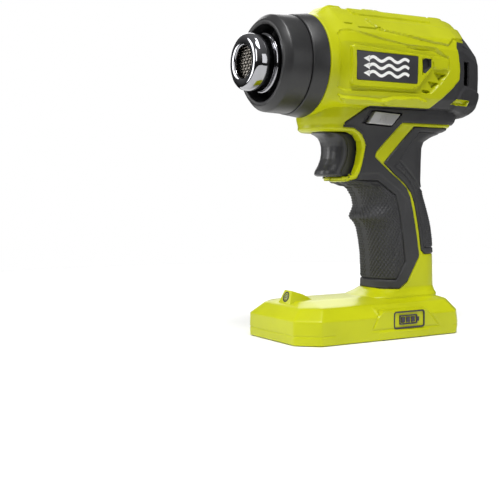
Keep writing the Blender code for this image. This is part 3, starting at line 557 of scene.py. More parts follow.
def make_piece(name, parts, material, body="housing", stands_for=(), smooth=38, bevel=None):
    """Make an object from parts in millimetres, give it its finish and tie it to its body."""
    places, faces = join_parts(parts)
    mesh = bpy.data.meshes.new(name)
    mesh.from_pydata(metres(places).tolist(), [], faces)
    mesh.validate()
    tidy = bmesh.new()
    tidy.from_mesh(mesh)
    bmesh.ops.remove_doubles(tidy, verts=tidy.verts, dist=2e-6)
    bmesh.ops.dissolve_degenerate(tidy, edges=tidy.edges, dist=1e-6)
    bmesh.ops.recalc_face_normals(tidy, faces=tidy.faces)
    tidy.to_mesh(mesh)
    tidy.free()
    mesh.materials.append(material)
    made = bpy.data.objects.new(name, mesh)
    bpy.context.scene.collection.objects.link(made)
    if bevel:
        edge = made.modifiers.new("edge", "BEVEL")
        edge.width, edge.segments, edge.limit_method = bevel * MM, 3, "ANGLE"
        edge.angle_limit = math.radians(28)
        graph = bpy.context.evaluated_depsgraph_get()
        mesh = bpy.data.meshes.new_from_object(made.evaluated_get(graph))
        made.modifiers.clear()
        made.data = mesh
    mesh.shade_smooth()
    mesh.set_sharp_from_angle(angle=math.radians(smooth))
    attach(made, body)
    if stands_for:
        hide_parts(*stands_for)
    print(name, len(mesh.polygons), "faces")
    return made


def mirrored(part):
    """The same part on the other side of the middle plane."""
    places, faces = part
    return np.asarray(places) * (-1, 1, 1), [tuple(reversed(f)) for f in faces]


print("a mirrored place:", mirrored(([(1, 2, 3)], []))[0])

# %% [markdown]
# Round parts are turned from a profile, flat ones are pulled from an outline, and wires are swept
# along a route. Each gives a closed solid.

# %% Turned, pulled and swept parts


def turned(profile, sides=128, centre=(0, 0, AXIS_Z), direction=(0, 1, 0), ends=False):
    """Turn a profile of (radius, distance along the axis) into a ring, or a solid if ends is set."""
    along = np.array(Vector(direction).normalized())
    other = Vector((1, 0, 0)) if abs(along[0]) < 0.9 else Vector((0, 0, 1))
    first = np.array(Vector(along).cross(other).normalized())
    second = np.cross(along, first)
    turns = np.arange(sides) * 2 * np.pi / sides
    circle = np.cos(turns)[:, None] * first + np.sin(turns)[:, None] * second
    places = np.concatenate([np.array(centre) + along * d + r * circle for r, d in profile])
    faces = ring_faces(len(profile), sides, not ends)
    return places, faces + (end_faces(len(profile), sides) if ends else [])


def prism(outline, x0, x1):
    """A side view outline pulled sideways from x0 to x1."""
    a = np.asarray(outline, float)
    n = len(a)
    places = np.concatenate([np.column_stack([np.full(n, x), a]) for x in (x0, x1)])
    return places, ring_faces(2, n) + end_faces(2, n)


def swept(route, radius, sides=10):
    """A wire of round section along a route."""
    route = np.asarray(route, float)
    n = len(route)
    ahead = np.roll(route, -1, 0) - np.roll(route, 1, 0)
    ahead[0], ahead[-1] = route[1] - route[0], route[-1] - route[-2]
    ahead /= np.linalg.norm(ahead, axis=1)[:, None]
    side = np.cross(ahead[0], (0, 0, 1) if abs(ahead[0][2]) < 0.9 else (1, 0, 0))
    turns = np.arange(sides) * 2 * np.pi / sides
    rows = []
    for point, way in zip(route, ahead):
        side = side - way * side.dot(way)
        side /= np.linalg.norm(side)
        up = np.cross(way, side)
        rows.append(point + radius * (np.cos(turns)[:, None] * side + np.sin(turns)[:, None] * up))
    return np.concatenate(rows), ring_faces(n, sides) + end_faces(n, sides)


square_ring = turned([(1, 0), (2, 0), (2, 1), (1, 1)], 8)
print("a square ring turned in 8 steps has", len(square_ring[1]), "faces")

# %% [markdown]
# ## Body: the barrel
# The barrel is a faceted tube: a narrow flat spine on top, shoulders that fall to a nearly flat
# flank, and a chamfer under it. At the front it becomes round to meet the shroud, and at the back
# it closes in. One half is made and the other is its mirror, apart from the screw wells, which
# are only on the right side. The section is listed from the spine down to the belly.

# %% Barrel surface
BARREL_SECTION = [(0, 214.0), (9.6, 214.0), (15.2, 209.2), (20.5, 204.2), (28.3, 196.5), (31.0, 190.0),
                  (31.6, 176.5), (31.0, 163.0), (30.5, 156.6), (27.0, 150.6), (20.0, 148.9), (10, 148.4),
                  (0, 148.2)]
BARREL_REAR = [(-5, 31.6, 214.0, 148.0), (107, 31.6, 214.0, 148.0), (113, 30.2, 213.4, 147.0),
               (118, 28.6, 212.2, 144.9), (123.6, 26.6, 208.9, 146.0), (129, 24.2, 206.2, 148.5),
               (134, 21.0, 203.4, 151.2), (138.8, 16.8, 199.4, 155.2), (142.3, 12.0, 195.0, 163.0),
               (144.4, 7.0, 188.0, 170.0)]
SHOULDER_R = 33.1
BARREL_STEP = 0.75      # grid spacing on the barrel
SLIDE_SHARE = 0.56      # how much of a step a point may slide to reach an outline
WALL_MM, FOOT_WALL_MM = 1.6, 1.3


def barrel_half():
    """Grid of half the barrel, from the front rim to the closed back, spine to belly."""
    section = resampled(np.array(BARREL_SECTION), 700)
    kernel = np.hanning(13)[1:-1]
    kernel /= kernel.sum()
    section[:, 0] = np.convolve(np.pad(section[:, 0], 5, "reflect", reflect_type="odd"), kernel, "valid")
    section[:, 1] = np.convolve(np.pad(section[:, 1], 5, "edge"), kernel, "valid")
    stations = np.r_[np.linspace(0.35, 20, 28), np.arange(20 + BARREL_STEP, 144.3, BARREL_STEP), 144.4]
    table = rounded_table(BARREL_REAR, stations, 3.0)
    count = int(112 / BARREL_STEP)
    rows = []
    for s, (half_width, top, bottom) in zip(stations, table):
        x = section[:, 0] * half_width / 31.6
        z = bottom + (section[:, 1] - 148.0) * (top - bottom) / 66.0
        t = np.clip((s - 3.5) / 12.5, 0, 1)
        faceted = t * t * (3 - 2 * t)
        turn = np.arctan2(z - AXIS_Z, x)
        edge = min(s, 1.0)
        radius = SHOULDER_R - (1 - edge) * 0.35
        x = radius * np.cos(turn) * (1 - faceted) + x * faceted
        z = (AXIS_Z + radius * np.sin(turn)) * (1 - faceted) + z * faceted
        line = resampled(np.stack([x, z], 1), count)
        rows.append(np.column_stack([line[:, 0], np.full(count, s), line[:, 1]]))
    first, last = rows[0], rows[-1]
    centre = np.array([0, 0, AXIS_Z])
    front = []
    for radius in (24.4, 27, 30, 32.4):
        ring = (first - centre) / SHOULDER_R * radius + centre
        ring[:, 1] = 0.0
        front.append(ring)
    back = []
    for share, s in ((0.85, 144.55), (0.5, 144.65), (0.2, 144.68), (0.0, 144.68)):
        ring = last.copy()
        ring[:, 0] *= share
        ring[:, 2] = 179 + (ring[:, 2] - 179) * (0.3 + 0.7 * share)
        ring[:, 1] = s
        back.append(ring)
    return np.array(front + rows + back)


barrel_grid = barrel_half()
print("barrel grid", barrel_grid.shape)

# %% [markdown]
# ## What is on the barrel
# All details are side view outlines in millimetres back from the shroud and up from the ground.
# A step is raised or sunk over a short slope, because a moulded edge is never a sharp one: it has
# a draft angle so that it leaves the tool. The flank is sunk, the frame round the name plate
# stands on it, and three slanted louvres run down behind the plate.

# %% Barrel outlines
GRIP_OUTLINE = [(125.0, 222), (122.0, 205.8), (120.0, 201.4), (117.4, 196.9), (107.5, 196.6),
                (105.6, 192.0), (106.8, 187.0), (108.0, 177.3), (107.6, 170.5), (101.5, 164.2),
                (90.9, 155.7), (84.6, 150.1), (36.0, 150.1), (20.0, 140.0), (18.6, 136.9),
                (27.8, 136.5), (34.3, 132.7), (38.3, 126.0), (35.5, 114.1), (32.6, 104.3),
                (29.4, 100.6), (22.0, 99.8), (22.0, 31.4), (68.0, 29.8), (74.6, 34.2), (85.0, 51.3),
                (83.6, 60.2), (81.7, 70.5), (79.4, 81.5), (76.7, 91.6), (73.6, 97.7), (67.5, 102.8),
                (58.9, 108.7), (51.3, 114.3), (46.4, 118.1), (47.1, 121.4), (67.1, 141.0),
                (170.0, 140.4), (170.0, 222)]
FLANK = [(7.6, 194.3), (10.8, 197.1), (19.8, 198.1), (40.8, 194.2), (62.6, 191.2), (87.0, 190.8),
         (91.6, 187.3), (98.4, 185.2), (98.5, 175.8), (91.0, 166.5), (82.0, 159.6), (12.1, 159.0),
         (7.0, 160.5)]
SHOULDER = [(36.0, 207), (121.5, 207), (118.0, 199.0), (112.0, 197.4), (104.0, 197.2), (97.8, 192.6),
            (86.1, 193.4), (42.9, 198.9)]
UPPER_BARS = [[(16.6, 203.0), (36.5, 202.7), (38.0, 201.7), (17.8, 201.6)],
              [(15.3, 199.6), (14.6, 200.6), (39.5, 201.0), (55.0, 200.4), (56.5, 199.5)]]
FRAME = [(17.6, 161.8), (64.0, 161.3), (70.6, 162.9), (82.9, 176.6), (82.9, 181.8), (79.8, 184.9),
         (20.0, 188.1), (16.6, 187.2), (15.9, 163.6)]
REAR_TAB = [(81.5, 184.6), (90.0, 185.0), (97.4, 184.2), (96.9, 176.6), (89.5, 175.8), (83.5, 176.2)]
PLATE = [(20.2, 166.0), (69.4, 165.8), (69.9, 183.4), (20.0, 184.1)]
WINDOW = [(72.9, 170.6), (80.8, 177.2), (80.8, 182.4), (72.9, 182.8)]
WINDOW_SLOT = [(72.9, 170.6), (75.6, 172.8), (75.6, 182.6), (72.9, 182.8)]
LOUVRES = [[(84.2, 174.6), (96.6, 173.4), (89.9, 168.0)], [(78.8, 168.6), (90.2, 167.4), (84.2, 162.6)],
           [(73.3, 162.8), (84.4, 161.9), (80.6, 159.8), (77.0, 160.0)]]
BELT = [(6.6, 157.8), (12.1, 155.9), (41.6, 155.2), (51.1, 156.9), (70.5, 157.6), (80.3, 155.6),
        (75.6, 151.9), (43.7, 151.6), (12.2, 152.0)]
BELT_PATCH = [(41.6, 155.2), (46.6, 156.1), (48.6, 151.2), (43.7, 151.0)]
REAR_VENT = [(112.9, 167.4), (119.7, 166.6), (119.7, 183.6), (112.9, 183.6)]
LOW_VENT = [(101.6, 153.6), (116.6, 153.4), (119.4, 157.2), (105.6, 157.4)]
REAR_BLOCK = [(109.0, 163.0), (114.6, 167.0), (146.0, 164.0), (146.0, 140.0), (98.0, 140.0)]
REAR_LINE = [(113.0, 193.4), (122.0, 193.0), (124.4, 191.3), (124.8, 187.5)]
FLANK_LINE = [(63.0, 188.9), (87.0, 188.0), (90.3, 186.2)]
SCREWS = [(14.0, 207.0), (98.0, 207.0), (136.4, 176.5), (11.3, 143.7), (104.0, 141.5), (53.0, 96.3),
          (14.0, 14.6), (101.4, 14.6)]
WELL_R, WELL_FLOOR_X = 4.2, 9.9
SEAM_X = 0.02           # half the gap at the parting line
ROOF = [(29.0, 209.7), (60.0, 209.5), (95.6, 209.3), (95.6, 222.0), (29.0, 222.0)]


print("louvres:", len(LOUVRES), " upper bars:", len(UPPER_BARS), " screws:", len(SCREWS))

# %% [markdown]
# A height is the sum of many small steps. Each is 1 inside its outline, 0 outside it, and a soft
# slope between, and is multiplied by how many millimetres it stands out.

# %% Heights on the barrel


def ramp(distance, width):
    """0 at a border and 1 from a width inside it, with soft ends."""
    t = np.clip((distance - 0.04) / width, 0, 1)
    return t * t * (3 - 2 * t)


def step(points, outline, width=0.5):
    """How far inside an outline points are, as a share of the slope at its edge."""
    return ramp(to_outline(points, outline)[0], width)


def groove(points, outline, width, closed=True):
    """1 on a line and 0 from half a width beside it."""
    distance = np.abs(to_outline(points, outline, closed)[0])
    return 1 - ramp(distance, width / 2)


# What stands out or is sunk: outline, height and width of the slope at its edge
BARREL_RELIEF = [(FLANK, -0.9, 0.6), (SHOULDER, 1.2, 0.6), (ROOF, 0.8, 0.5), (FRAME, 2.3, 0.7),
                 (grown(PLATE, 0.35), -1.45, 0.3), (WINDOW, -2.6, 0.3), (WINDOW_SLOT, -3.0, 0.3),
                 (BELT, 2.4, 0.9), (BELT_PATCH, 0.6, 0.4), (REAR_BLOCK, 1.0, 1.6),
                 (REAR_VENT, -3.2, 0.3), (LOW_VENT, -2.0, 0.3),
                 *[(bar, -1.2, 0.3) for bar in UPPER_BARS], *[(louvre, -2.8, 0.3) for louvre in LOUVRES]]


def barrel_heights(points):
    """How far each point of the barrel stands out from the master surface."""
    h = sum(height * step(points, outline, width) for outline, height, width in BARREL_RELIEF)
    h += 1.7 * step(points, REAR_TAB, 0.7) * (1 - step(points, FRAME, 0.1))
    h -= 0.9 * groove(points, FLANK_LINE, 1.2, False) + 0.5 * groove(points, REAR_LINE, 0.9, False)
    cover = to_outline(points, GRIP_OUTLINE)[0]
    return h - 0.7 * ramp(cover, 0.3) - 0.6 * (1 - ramp(np.abs(cover), 0.6))


def spine_lift(grid):
    """Extra height along the spine: two pads and a few cross steps."""
    x, s = np.abs(grid[..., 0]), grid[..., 1]
    front_pad = np.interp(s, [8, 17, 24.6, 26.4], [0, 2.0, 1.9, 0])
    rear_pad = np.interp(s, [97.5, 100.5, 110.8, 112.4], [0, 1.6, 1.7, 0])
    steps = 0.9 * (np.interp(s, [42, 42.6, 54, 58], [0, 1, 1, 0]))
    on_top = np.clip((8.2 - x) / 1.2, 0, 1)
    wide = np.clip((9.4 - x) / 1.0, 0, 1)
    ribs = -0.6 * np.clip(1 - np.abs(s - 45.5) / 0.6, 0, 1) - 0.6 * np.clip(1 - np.abs(s - 51.5) / 0.6, 0, 1)
    high = grid[..., 2] > 205
    return ((front_pad + rear_pad) * on_top + (steps + ribs) * wide) * high


# %% [markdown]
# ## Body: the handle
# The handle is a rounded column that leans back with a swell for the fingers, and widens into the
# yoke under the barrel. Its front is cut away round the trigger: there the points are pushed back
# to the rear edge of the mouth, and inside a pocket still further, so that the trigger has room.

# %% Handle surface
HANDLE = [(153.5, 0.6, 120.6, 21.8, 21.0, 14), (147.0, 0.5, 120.6, 21.6, 21.0, 14),
          (143.2, 0.2, 119.0, 21.2, 20.4, 14), (140.5, 0.7, 116.4, 20.6, 19.8, 14),
          (138.0, 1.5, 113.4, 20.0, 19.2, 14), (135.4, 2.6, 107.5, 19.4, 18.6, 14),
          (132.9, 5.0, 100.0, 19.0, 17.6, 14), (129.4, 8.0, 94.0, 18.6, 16.6, 14.3),
          (125.0, 10.0, 92.4, 18.2, 16.0, 14.3), (115.0, 15.0, 92.3, 17.8, 15.5, 14.3),
          (106.0, 21.0, 92.3, 17.6, 15.0, 14.3), (103.2, 23.0, 92.3, 17.5, 15.0, 14.3),
          (101.2, 28.0, 92.4, 17.5, 15.0, 14.3), (99.6, 36.0, 92.7, 17.5, 14.6, 14.3),
          (98.3, 41.2, 92.9, 17.5, 14.3, 14.3), (91.8, 45.7, 94.6, 17.5, 14.3, 14.3),
          (86.3, 46.9, 96.7, 17.5, 14.3, 14.3), (81.5, 45.9, 98.4, 17.5, 14.3, 14.3),
          (78.0, 45.0, 99.6, 17.5, 14.3, 14.3), (74.5, 47.6, 100.7, 17.5, 14.3, 14.3),
          (70.7, 49.8, 101.7, 17.5, 14.3, 14.3), (62.5, 51.7, 103.1, 17.5, 14.3, 14.3),
          (53.0, 53.2, 103.9, 17.5, 14.3, 14.3), (40.0, 53.8, 104.5, 17.5, 14.3, 14.3),
          (30.2, 53.6, 104.9, 17.5, 14.3, 14.3), (27.6, 48.8, 105.2, 18.6, 15.0, 14.6),
          (25.0, 42.0, 105.6, 21.0, 16.0, 15.2), (16.0, 42.0, 103.0, 21.0, 16.0, 15.2)]
HANDLE_STEP = 0.5
MOUTH_REAR = [(104.4, 24.0), (104.9, 26.0), (107.6, 30.6), (114.8, 33.5), (123.4, 35.0), (128.4, 34.2),
              (132.4, 30.8), (134.2, 27.0), (134.6, 24.0)]
POCKET_HALF, POCKET_REAR = 12.2, 56.4


def handle_half():
    """Grid of half the handle, from the foot up into the barrel, front to rear."""
    heights = np.r_[np.arange(16.0, 98.0, HANDLE_STEP), np.arange(98.0, 104.3, 0.14), 104.36, 104.42,
                    104.9, 105.0,
                    np.arange(105.4, 134.0, HANDLE_STEP), 134.3, 134.4, 134.58, 134.64,
                    np.arange(135.0, 153.5, HANDLE_STEP)]
    table = rounded_table(HANDLE, heights, 2.2)
    count = int(76 / HANDLE_STEP)
    rows = []
    for z, (front, rear, half_width, front_r, rear_r) in zip(heights, table):
        front_r, rear_r = min(front_r, half_width - 0.2), min(rear_r, half_width - 0.2)
        turns = np.radians(np.linspace(0, 90, 40))
        ahead = np.stack([half_width - front_r + front_r * np.sin(turns),
                          front + front_r - front_r * np.cos(turns)], 1)
        behind = np.stack([half_width - rear_r + rear_r * np.cos(turns),
                           rear - rear_r + rear_r * np.sin(turns)], 1)
        line = np.concatenate([[(0, front)], ahead, behind, [(0, rear)]])
        line = resampled(line, count)
        if 104.4 < z < 134.6:
            mouth = np.interp(z, [p[0] for p in MOUTH_REAR], [p[1] for p in MOUTH_REAR])
            line[:, 1] = np.maximum(line[:, 1], mouth)
            if 104.95 < z < 134.35:
                pocket = (line[:, 0] < POCKET_HALF) & (line[:, 1] < mouth + 1)
                line[pocket, 1] = POCKET_REAR
        rows.append(np.column_stack([line, np.full(count, z)]))
    return np.array(rows)


handle_grid = handle_half()
print("handle grid", handle_grid.shape)

# %% [markdown]
# ## What is on the handle
# The soft grip stands a little proud of the green body, with a fine shadow line where they meet.
# Fingers get a panel of small diamonds bordered by a black groove. Real diamonds are about 1.6 mm
# apart, and are drawn at 2.1 mm so that they show. The palm has a strap of the same rubber.

# %% Handle outlines
BACKSTRAP = [(125.0, 138.4), (77.5, 138.9), (53.6, 114.3), (63.2, 106.6), (71.8, 100.6),
             (77.4, 94.3), (80.2, 87.6), (82.9, 76.0), (84.9, 65.7), (86.3, 55.4),
             (89.0, 52.5), (125.0, 52.5)]
FINGER_PANEL = [(20.0, 103.0), (48.9, 103.0), (65.0, 93.1), (68.5, 80.9), (73.2, 47.7), (65.5, 35.5),
                (20.0, 36.6)]
PALM_PANEL = [(62.6, 112.1), (66.9, 116.5), (86.2, 97.7), (130.0, 97.7), (130.0, 56.5), (88.6, 56.5),
              (86.6, 69.0), (82.9, 86.1), (79.3, 96.4), (73.1, 105.1)]
PALM_SMOOTH = [(82.3, 135.6), (66.9, 116.8), (86.2, 97.9), (130.0, 97.9), (130.0, 135.6)]
THUMB_REST = [(20.0, 108.2), (49.5, 108.2), (66.0, 98.0), (75.0, 90.0), (60.0, 30.0), (20.0, 30.0)]
LOCK = [(36.9, 139.8), (56.7, 138.9), (63.8, 146.4), (42.7, 147.6)]
LOCK_SHADOW = [(32.5, 139.6), (56.9, 138.3), (65.6, 147.2), (38.4, 148.6)]
MOUTH = [(-30, 134.6), (25.6, 134.5), (30.8, 132.4), (34.2, 128.4), (35.0, 123.4),
         (33.5, 114.8), (30.6, 107.6), (26.0, 104.8), (-30, 104.4)]
DIAMOND_MM = 2.1


print("the finger panel is", round(np.ptp([z for _, z in FINGER_PANEL]), 1), "mm high")

# %% [markdown]
# The diamonds are two waves that cross at a slant. They fade out before the border of their panel.

# %% Heights on the handle


def weave(along, up, pitch):
    """Crossed slanting ridges that leave small raised diamonds."""
    a = np.cos(2 * np.pi * (along * 0.80 + up * 0.60) / pitch)
    b = np.cos(2 * np.pi * (along * 0.80 - up * 0.60) / pitch)
    return np.maximum(a, -0.4) * 0.5 + np.maximum(b, -0.4) * 0.5


def handle_heights(points, x, around):
    """How far each point of the handle stands out from the master surface."""
    grip, strap = to_outline(points, GRIP_OUTLINE)[0], to_outline(points, BACKSTRAP)[0]
    rubber = np.maximum(grip, strap)
    h = 0.5 * ramp(rubber, 0.7) - 0.55 * (1 - ramp(np.abs(rubber), 0.6))
    finger = to_outline(points, FINGER_PANEL)[0]
    h -= 0.35 * ramp(finger, 0.5) + 1.0 * (1 - ramp(np.abs(finger - 0.5), 0.75))
    clear = ramp(finger - 1.3, 0.8) * (np.abs(x) > 2.0)
    h += 0.62 * weave(around, points[:, 1], DIAMOND_MM) * clear
    palm = to_outline(points, PALM_PANEL)[0]
    h -= 0.25 * ramp(palm, 0.4) + 0.6 * (1 - ramp(np.abs(palm - 0.3), 0.7))
    h += 0.5 * weave(around, points[:, 1], DIAMOND_MM * 0.85) * ramp(palm - 0.9, 0.7)
    h -= 0.45 * groove(points, PALM_SMOOTH, 1.3)
    h -= 0.5 * step(points, THUMB_REST, 1.6)
    ridge = np.exp(-((points[:, 1] - 78.6 - 0.24 * (points[:, 0] - 45)) / 3.2) ** 2)
    h += 1.1 * ridge * np.clip((66 - points[:, 0]) / 14, 0, 1) * (points[:, 0] < 66)
    shadow = to_outline(points, LOCK_SHADOW)[0]
    h -= 1.5 * ramp(shadow, 0.7)
    mouth = to_outline(points, MOUTH)[0]
    h += 0.9 * np.exp(-((mouth + 1.9) / 1.3) ** 2) * (mouth < 0)
    return h


print("weave between", weave(np.zeros(1), np.zeros(1), 2.0)[0], "and -0.4")

# %% [markdown]
# One grid becomes two or three shells: every face belongs to the green body, the grey cover or the
# palm strap, and each set of faces is closed on its own. The green pocket behind the trigger gets the
# dark grey rubber as painted shade.

# %% Cutting both halves into green body and grey grip


def build_half(side):
    """Shell parts of one side: green barrel and handle, grey cover with painted shade in the trigger pocket,
    and strap.
    """
    parts = {"lime": [], "cover": [], "strap": []}
    wells = [circle_outline(place, WELL_R) for place in SCREWS] if side < 0 else []
    # barrel
    grid = barrel_grid.copy()
    normals = grid_normals(grid)
    lines = [GRIP_OUTLINE, FLANK, SHOULDER, ROOF, *UPPER_BARS, FRAME, REAR_TAB, grown(PLATE, 0.35), WINDOW,
             WINDOW_SLOT, *LOUVRES, BELT, REAR_VENT, LOW_VENT, *wells[:3]]
    grid, moved = slide_to_outlines(grid, normals, lines, BARREL_STEP * SLIDE_SHARE)
    grid[..., 2] += spine_lift(grid)
    flat, n = grid.reshape(-1, 3), normals.reshape(-1, 3)
    points = flat[:, 1:]
    places = flat + n * barrel_heights(points)[:, None]
    places[:, 0] = np.maximum(places[:, 0], SEAM_X)
    for well in wells[:3]:
        inside = to_outline(points, well)[0] > 0.05
        places[inside, 0] = WELL_FLOOR_X
    faces = grid_faces(moved)
    centres = face_centres(flat, faces)[:, 1:]
    slot = (to_outline(centres, WINDOW_SLOT)[0] > 0.5) | (to_outline(centres, REAR_VENT)[0] > 0.2)
    cover = to_outline(centres, GRIP_OUTLINE)[0] > 0
    cover |= (to_outline(centres, WINDOW)[0] > 0.1) & ~(to_outline(centres, WINDOW_SLOT)[0] > 0)
    cover &= ~(to_outline(centres, LOW_VENT)[0] > 0.1)
    for name, chosen in (("lime", ~slot & ~cover), ("cover", ~slot & cover)):
        picked = [f for f, yes in zip(faces, chosen) if yes]
        parts[name].append(shell_of(places, n, picked, WALL_MM))
    # handle
    grid = handle_grid.copy()
    normals = grid_normals(grid)
    lines = [GRIP_OUTLINE, BACKSTRAP, FINGER_PANEL, PALM_PANEL, grown(LOCK, 0.95), *wells[3:6]]
    grid, moved = slide_to_outlines(grid, normals, lines, HANDLE_STEP * SLIDE_SHARE)
    flat, n = grid.reshape(-1, 3), normals.reshape(-1, 3)
    points = flat[:, 1:]
    around = np.cumsum(np.r_[0, np.linalg.norm(np.diff(handle_grid[60], axis=0), axis=1)])
    around = np.tile(around, len(grid))
    places = flat + n * handle_heights(points, flat[:, 0], around)[:, None]
    places[:, 0] = np.maximum(places[:, 0], SEAM_X)
    lock = to_outline(points, grown(LOCK, 0.95))[0] > 0.05
    places[lock, 0] = 8.0
    for well in wells[3:6]:
        inside = to_outline(points, well)[0] > 0.05
        places[inside, 0] = WELL_FLOOR_X
    faces = grid_faces(moved)
    centres3 = face_centres(flat, faces)
    centres = centres3[:, 1:]
    # Faces in the pocket behind the trigger get the dark grey rubber: painted shade, since the green moulding
    # there lies in shade
    pocket = (centres[:, 0] > 36) & (centres3[:, 0] < 13) & (centres[:, 0] < 58) & (centres[:, 1] > 104.5) \
        & (centres[:, 1] < 134.5)
    cover = (to_outline(centres, GRIP_OUTLINE)[0] > 0) | pocket
    strap = to_outline(centres, BACKSTRAP)[0] > 0
    for name, chosen in (("lime", ~cover & ~strap), ("cover", cover & ~strap), ("strap", strap)):
        picked = [f for f, yes in zip(faces, chosen) if yes]
        parts[name].append(shell_of(places, n, picked, WALL_MM))
    return parts


# %% [markdown]
# ## Body: the foot
# The foot is a low tray with cut corners and two slopes on top. Its side has a flat facet for the
# badge, which reaches up over the first crease, and a small ledge at the bottom. Under it is the
# recess that takes the battery. It is one grid too: down the outside, round the rim and up into
# the recess. The deck over the recess and the walls of the battery's socket are flat plates.

# %% Foot surface
FOOT = [(0.0, -23.5, 106.4, 38.7, 26.9, 12.9), (6.0, -23.8, 107.3, 38.75, 26.9, 12.9),
        (15.0, -23.6, 105.9, 38.6, 26.7, 12.9), (22.2, -15.4, 102.5, 31.4, 21.4, 10.5),
        (25.3, -8.0, 98.0, 13.0, 8.0, 5.0)]
BADGE_FACET = [(32.6, 14.5), (37.0, 19.1), (74.2, 18.5), (84.8, 6.4), (28.6, 6.8)]
FACET_TRIANGLE = [(31.7, 22.0), (39.4, 18.9), (36.8, 18.9), (33.0, 14.8)]
FOOT_LEDGE = [(34.1, 5.8), (75.9, 5.5), (76.9, -2), (33.3, -2)]
BADGE = [(46.0, 7.6), (47.2, 6.5), (70.4, 6.5), (71.6, 7.6), (71.6, 16.6), (70.4, 17.7),
         (47.2, 17.7), (46.0, 16.6)]
BADGE_BORDER = [(45.9, 6.4), (71.7, 6.4), (71.7, 17.8), (45.9, 17.8)]
FOOT_STEP = 0.8
SOCKET, SOCKET_WALL, SOCKET_TOP = (11.2, 62.3, 96.3), 1.4, 27.0     # half width, front, rear
DECK_Z, DECK_TOP = 9.2, 11.0


def foot_outline(front, rear, half_width, face, corner):
    """Half outline of the foot at a height, from its front middle round to its back middle."""
    return np.array([(0, front), (face, front), (half_width, front + corner), (half_width, rear - 7),
                     (half_width - 7, rear), (0, rear)])


def foot_half(count=250):
    """Grid of half the foot: recess, rim, sides, slopes and top."""
    rows = []

    def add(z, values, inset=0.0):
        line = foot_outline(*values)
        if inset:
            full = np.concatenate([line, line[::-1] * (-1, 1)])[:-1]
            full = np.delete(full, len(line) - 1, 0)
            line = grown(full, -inset)[:len(line)]
            line[0, 0] = line[-1, 0] = 0.0
        fine = resampled(line, count * 4)
        soft = np.hanning(19)[1:-1] / np.hanning(19)[1:-1].sum()
        for c, mirror in ((0, "odd"), (1, "even")):
            fine[:, c] = np.convolve(np.pad(fine[:, c], 8, "reflect", reflect_type=mirror), soft, "valid")
        line = resampled(fine, count)
        rows.append(np.column_stack([line, np.full(count, z)]))

    rim = rounded_table(FOOT, [0.0], 2.0)[0]
    for z in (DECK_Z, 7, 4.5, 2, 0.5):
        add(z, rim, 3.0)
    add(0.02, rim, 2.5)
    add(0.0, rim, 1.2)
    add(0.02, rim, 0.5)
    heights = np.r_[0.35, np.arange(1.0, 25.1, 0.6)]
    for z, values in zip(heights, rounded_table(FOOT, heights, 1.4)):
        add(z, values)
    last = rounded_table(FOOT, [25.3], 1.4)[0]
    top = foot_outline(*last)
    for share in (0.96, 0.6, 0.2, 0.0):
        line = resampled(top, count).copy()
        line[:, 0] *= share
        rows.append(np.column_stack([line, np.full(count, 25.32 + 0.02 * (1 - share))]))
    return np.array(rows)


print("foot grid", foot_half().shape)

# %% [markdown]
# The facet is made by pulling the points inside its outline out to one plane. Its border gets a
# fine crease.

# %% Foot shell


def build_foot(side):
    """Closed shell of half the foot, with its facet, ledge, pockets and screw wells."""
    grid = foot_half()
    normals = grid_normals(grid)
    outer = np.arange(len(grid)) >= 7
    wells = [circle_outline(place, WELL_R) for place in SCREWS[6:]] if side < 0 else []
    lines = [BADGE_FACET, FACET_TRIANGLE, FOOT_LEDGE, grown(BADGE, 0.3), *wells]
    slid, moved = slide_to_outlines(grid, normals, lines, FOOT_STEP * 0.5)
    grid[outer] = slid[outer]
    moved[~outer] = False
    flat, n = grid.reshape(-1, 3), normals.reshape(-1, 3)
    points = flat[:, 1:]
    places = flat.copy()
    outside = np.repeat(outer, grid.shape[1])
    flank = outside & (n[:, 0] > 0.3) & (points[:, 0] > 0) & (points[:, 0] < 97)
    facet = step(points, BADGE_FACET, 0.6) * flank
    places[:, 0] += facet * np.maximum(0, 38.75 - places[:, 0])
    triangle = step(points, FACET_TRIANGLE, 1.5) * flank
    places[:, 0] += triangle * 0.8
    crease = to_outline(points, BADGE_FACET)[0]
    places[:, 0] -= 0.4 * (1 - ramp(np.abs(crease), 0.7)) * flank
    places[:, 0] += 0.45 * step(points, FOOT_LEDGE, 0.3) * flank
    places[:, 0] -= 0.6 * step(points, grown(BADGE, 0.3), 0.3) * flank
    sill = outside & (points[:, 1] > 1.5)
    places -= n * (0.35 * np.exp(-((points[:, 1] - 5.8) / 0.45) ** 2) * (sill & ~flank))[:, None]
    places[:, 0] = np.maximum(places[:, 0], SEAM_X)
    for well in wells:
        inside = (to_outline(points, well)[0] > 0.05) & outside
        places[inside, 0] = WELL_FLOOR_X
    faces = grid_faces(moved)
    return shell_of(places, n, faces, FOOT_WALL_MM)


# %% [markdown]
# The battery slides in under a flat deck, and its stem goes up a square socket through it.

# %% Deck that the battery slides under


def upright(outline, z0, z1):
    """A plan outline of (x, s) places pulled up from one height to another."""
    n = len(outline)
    places = np.array([(x, s, z) for z in (z0, z1) for x, s in outline])
    return places, ring_faces(2, n) + end_faces(2, n)


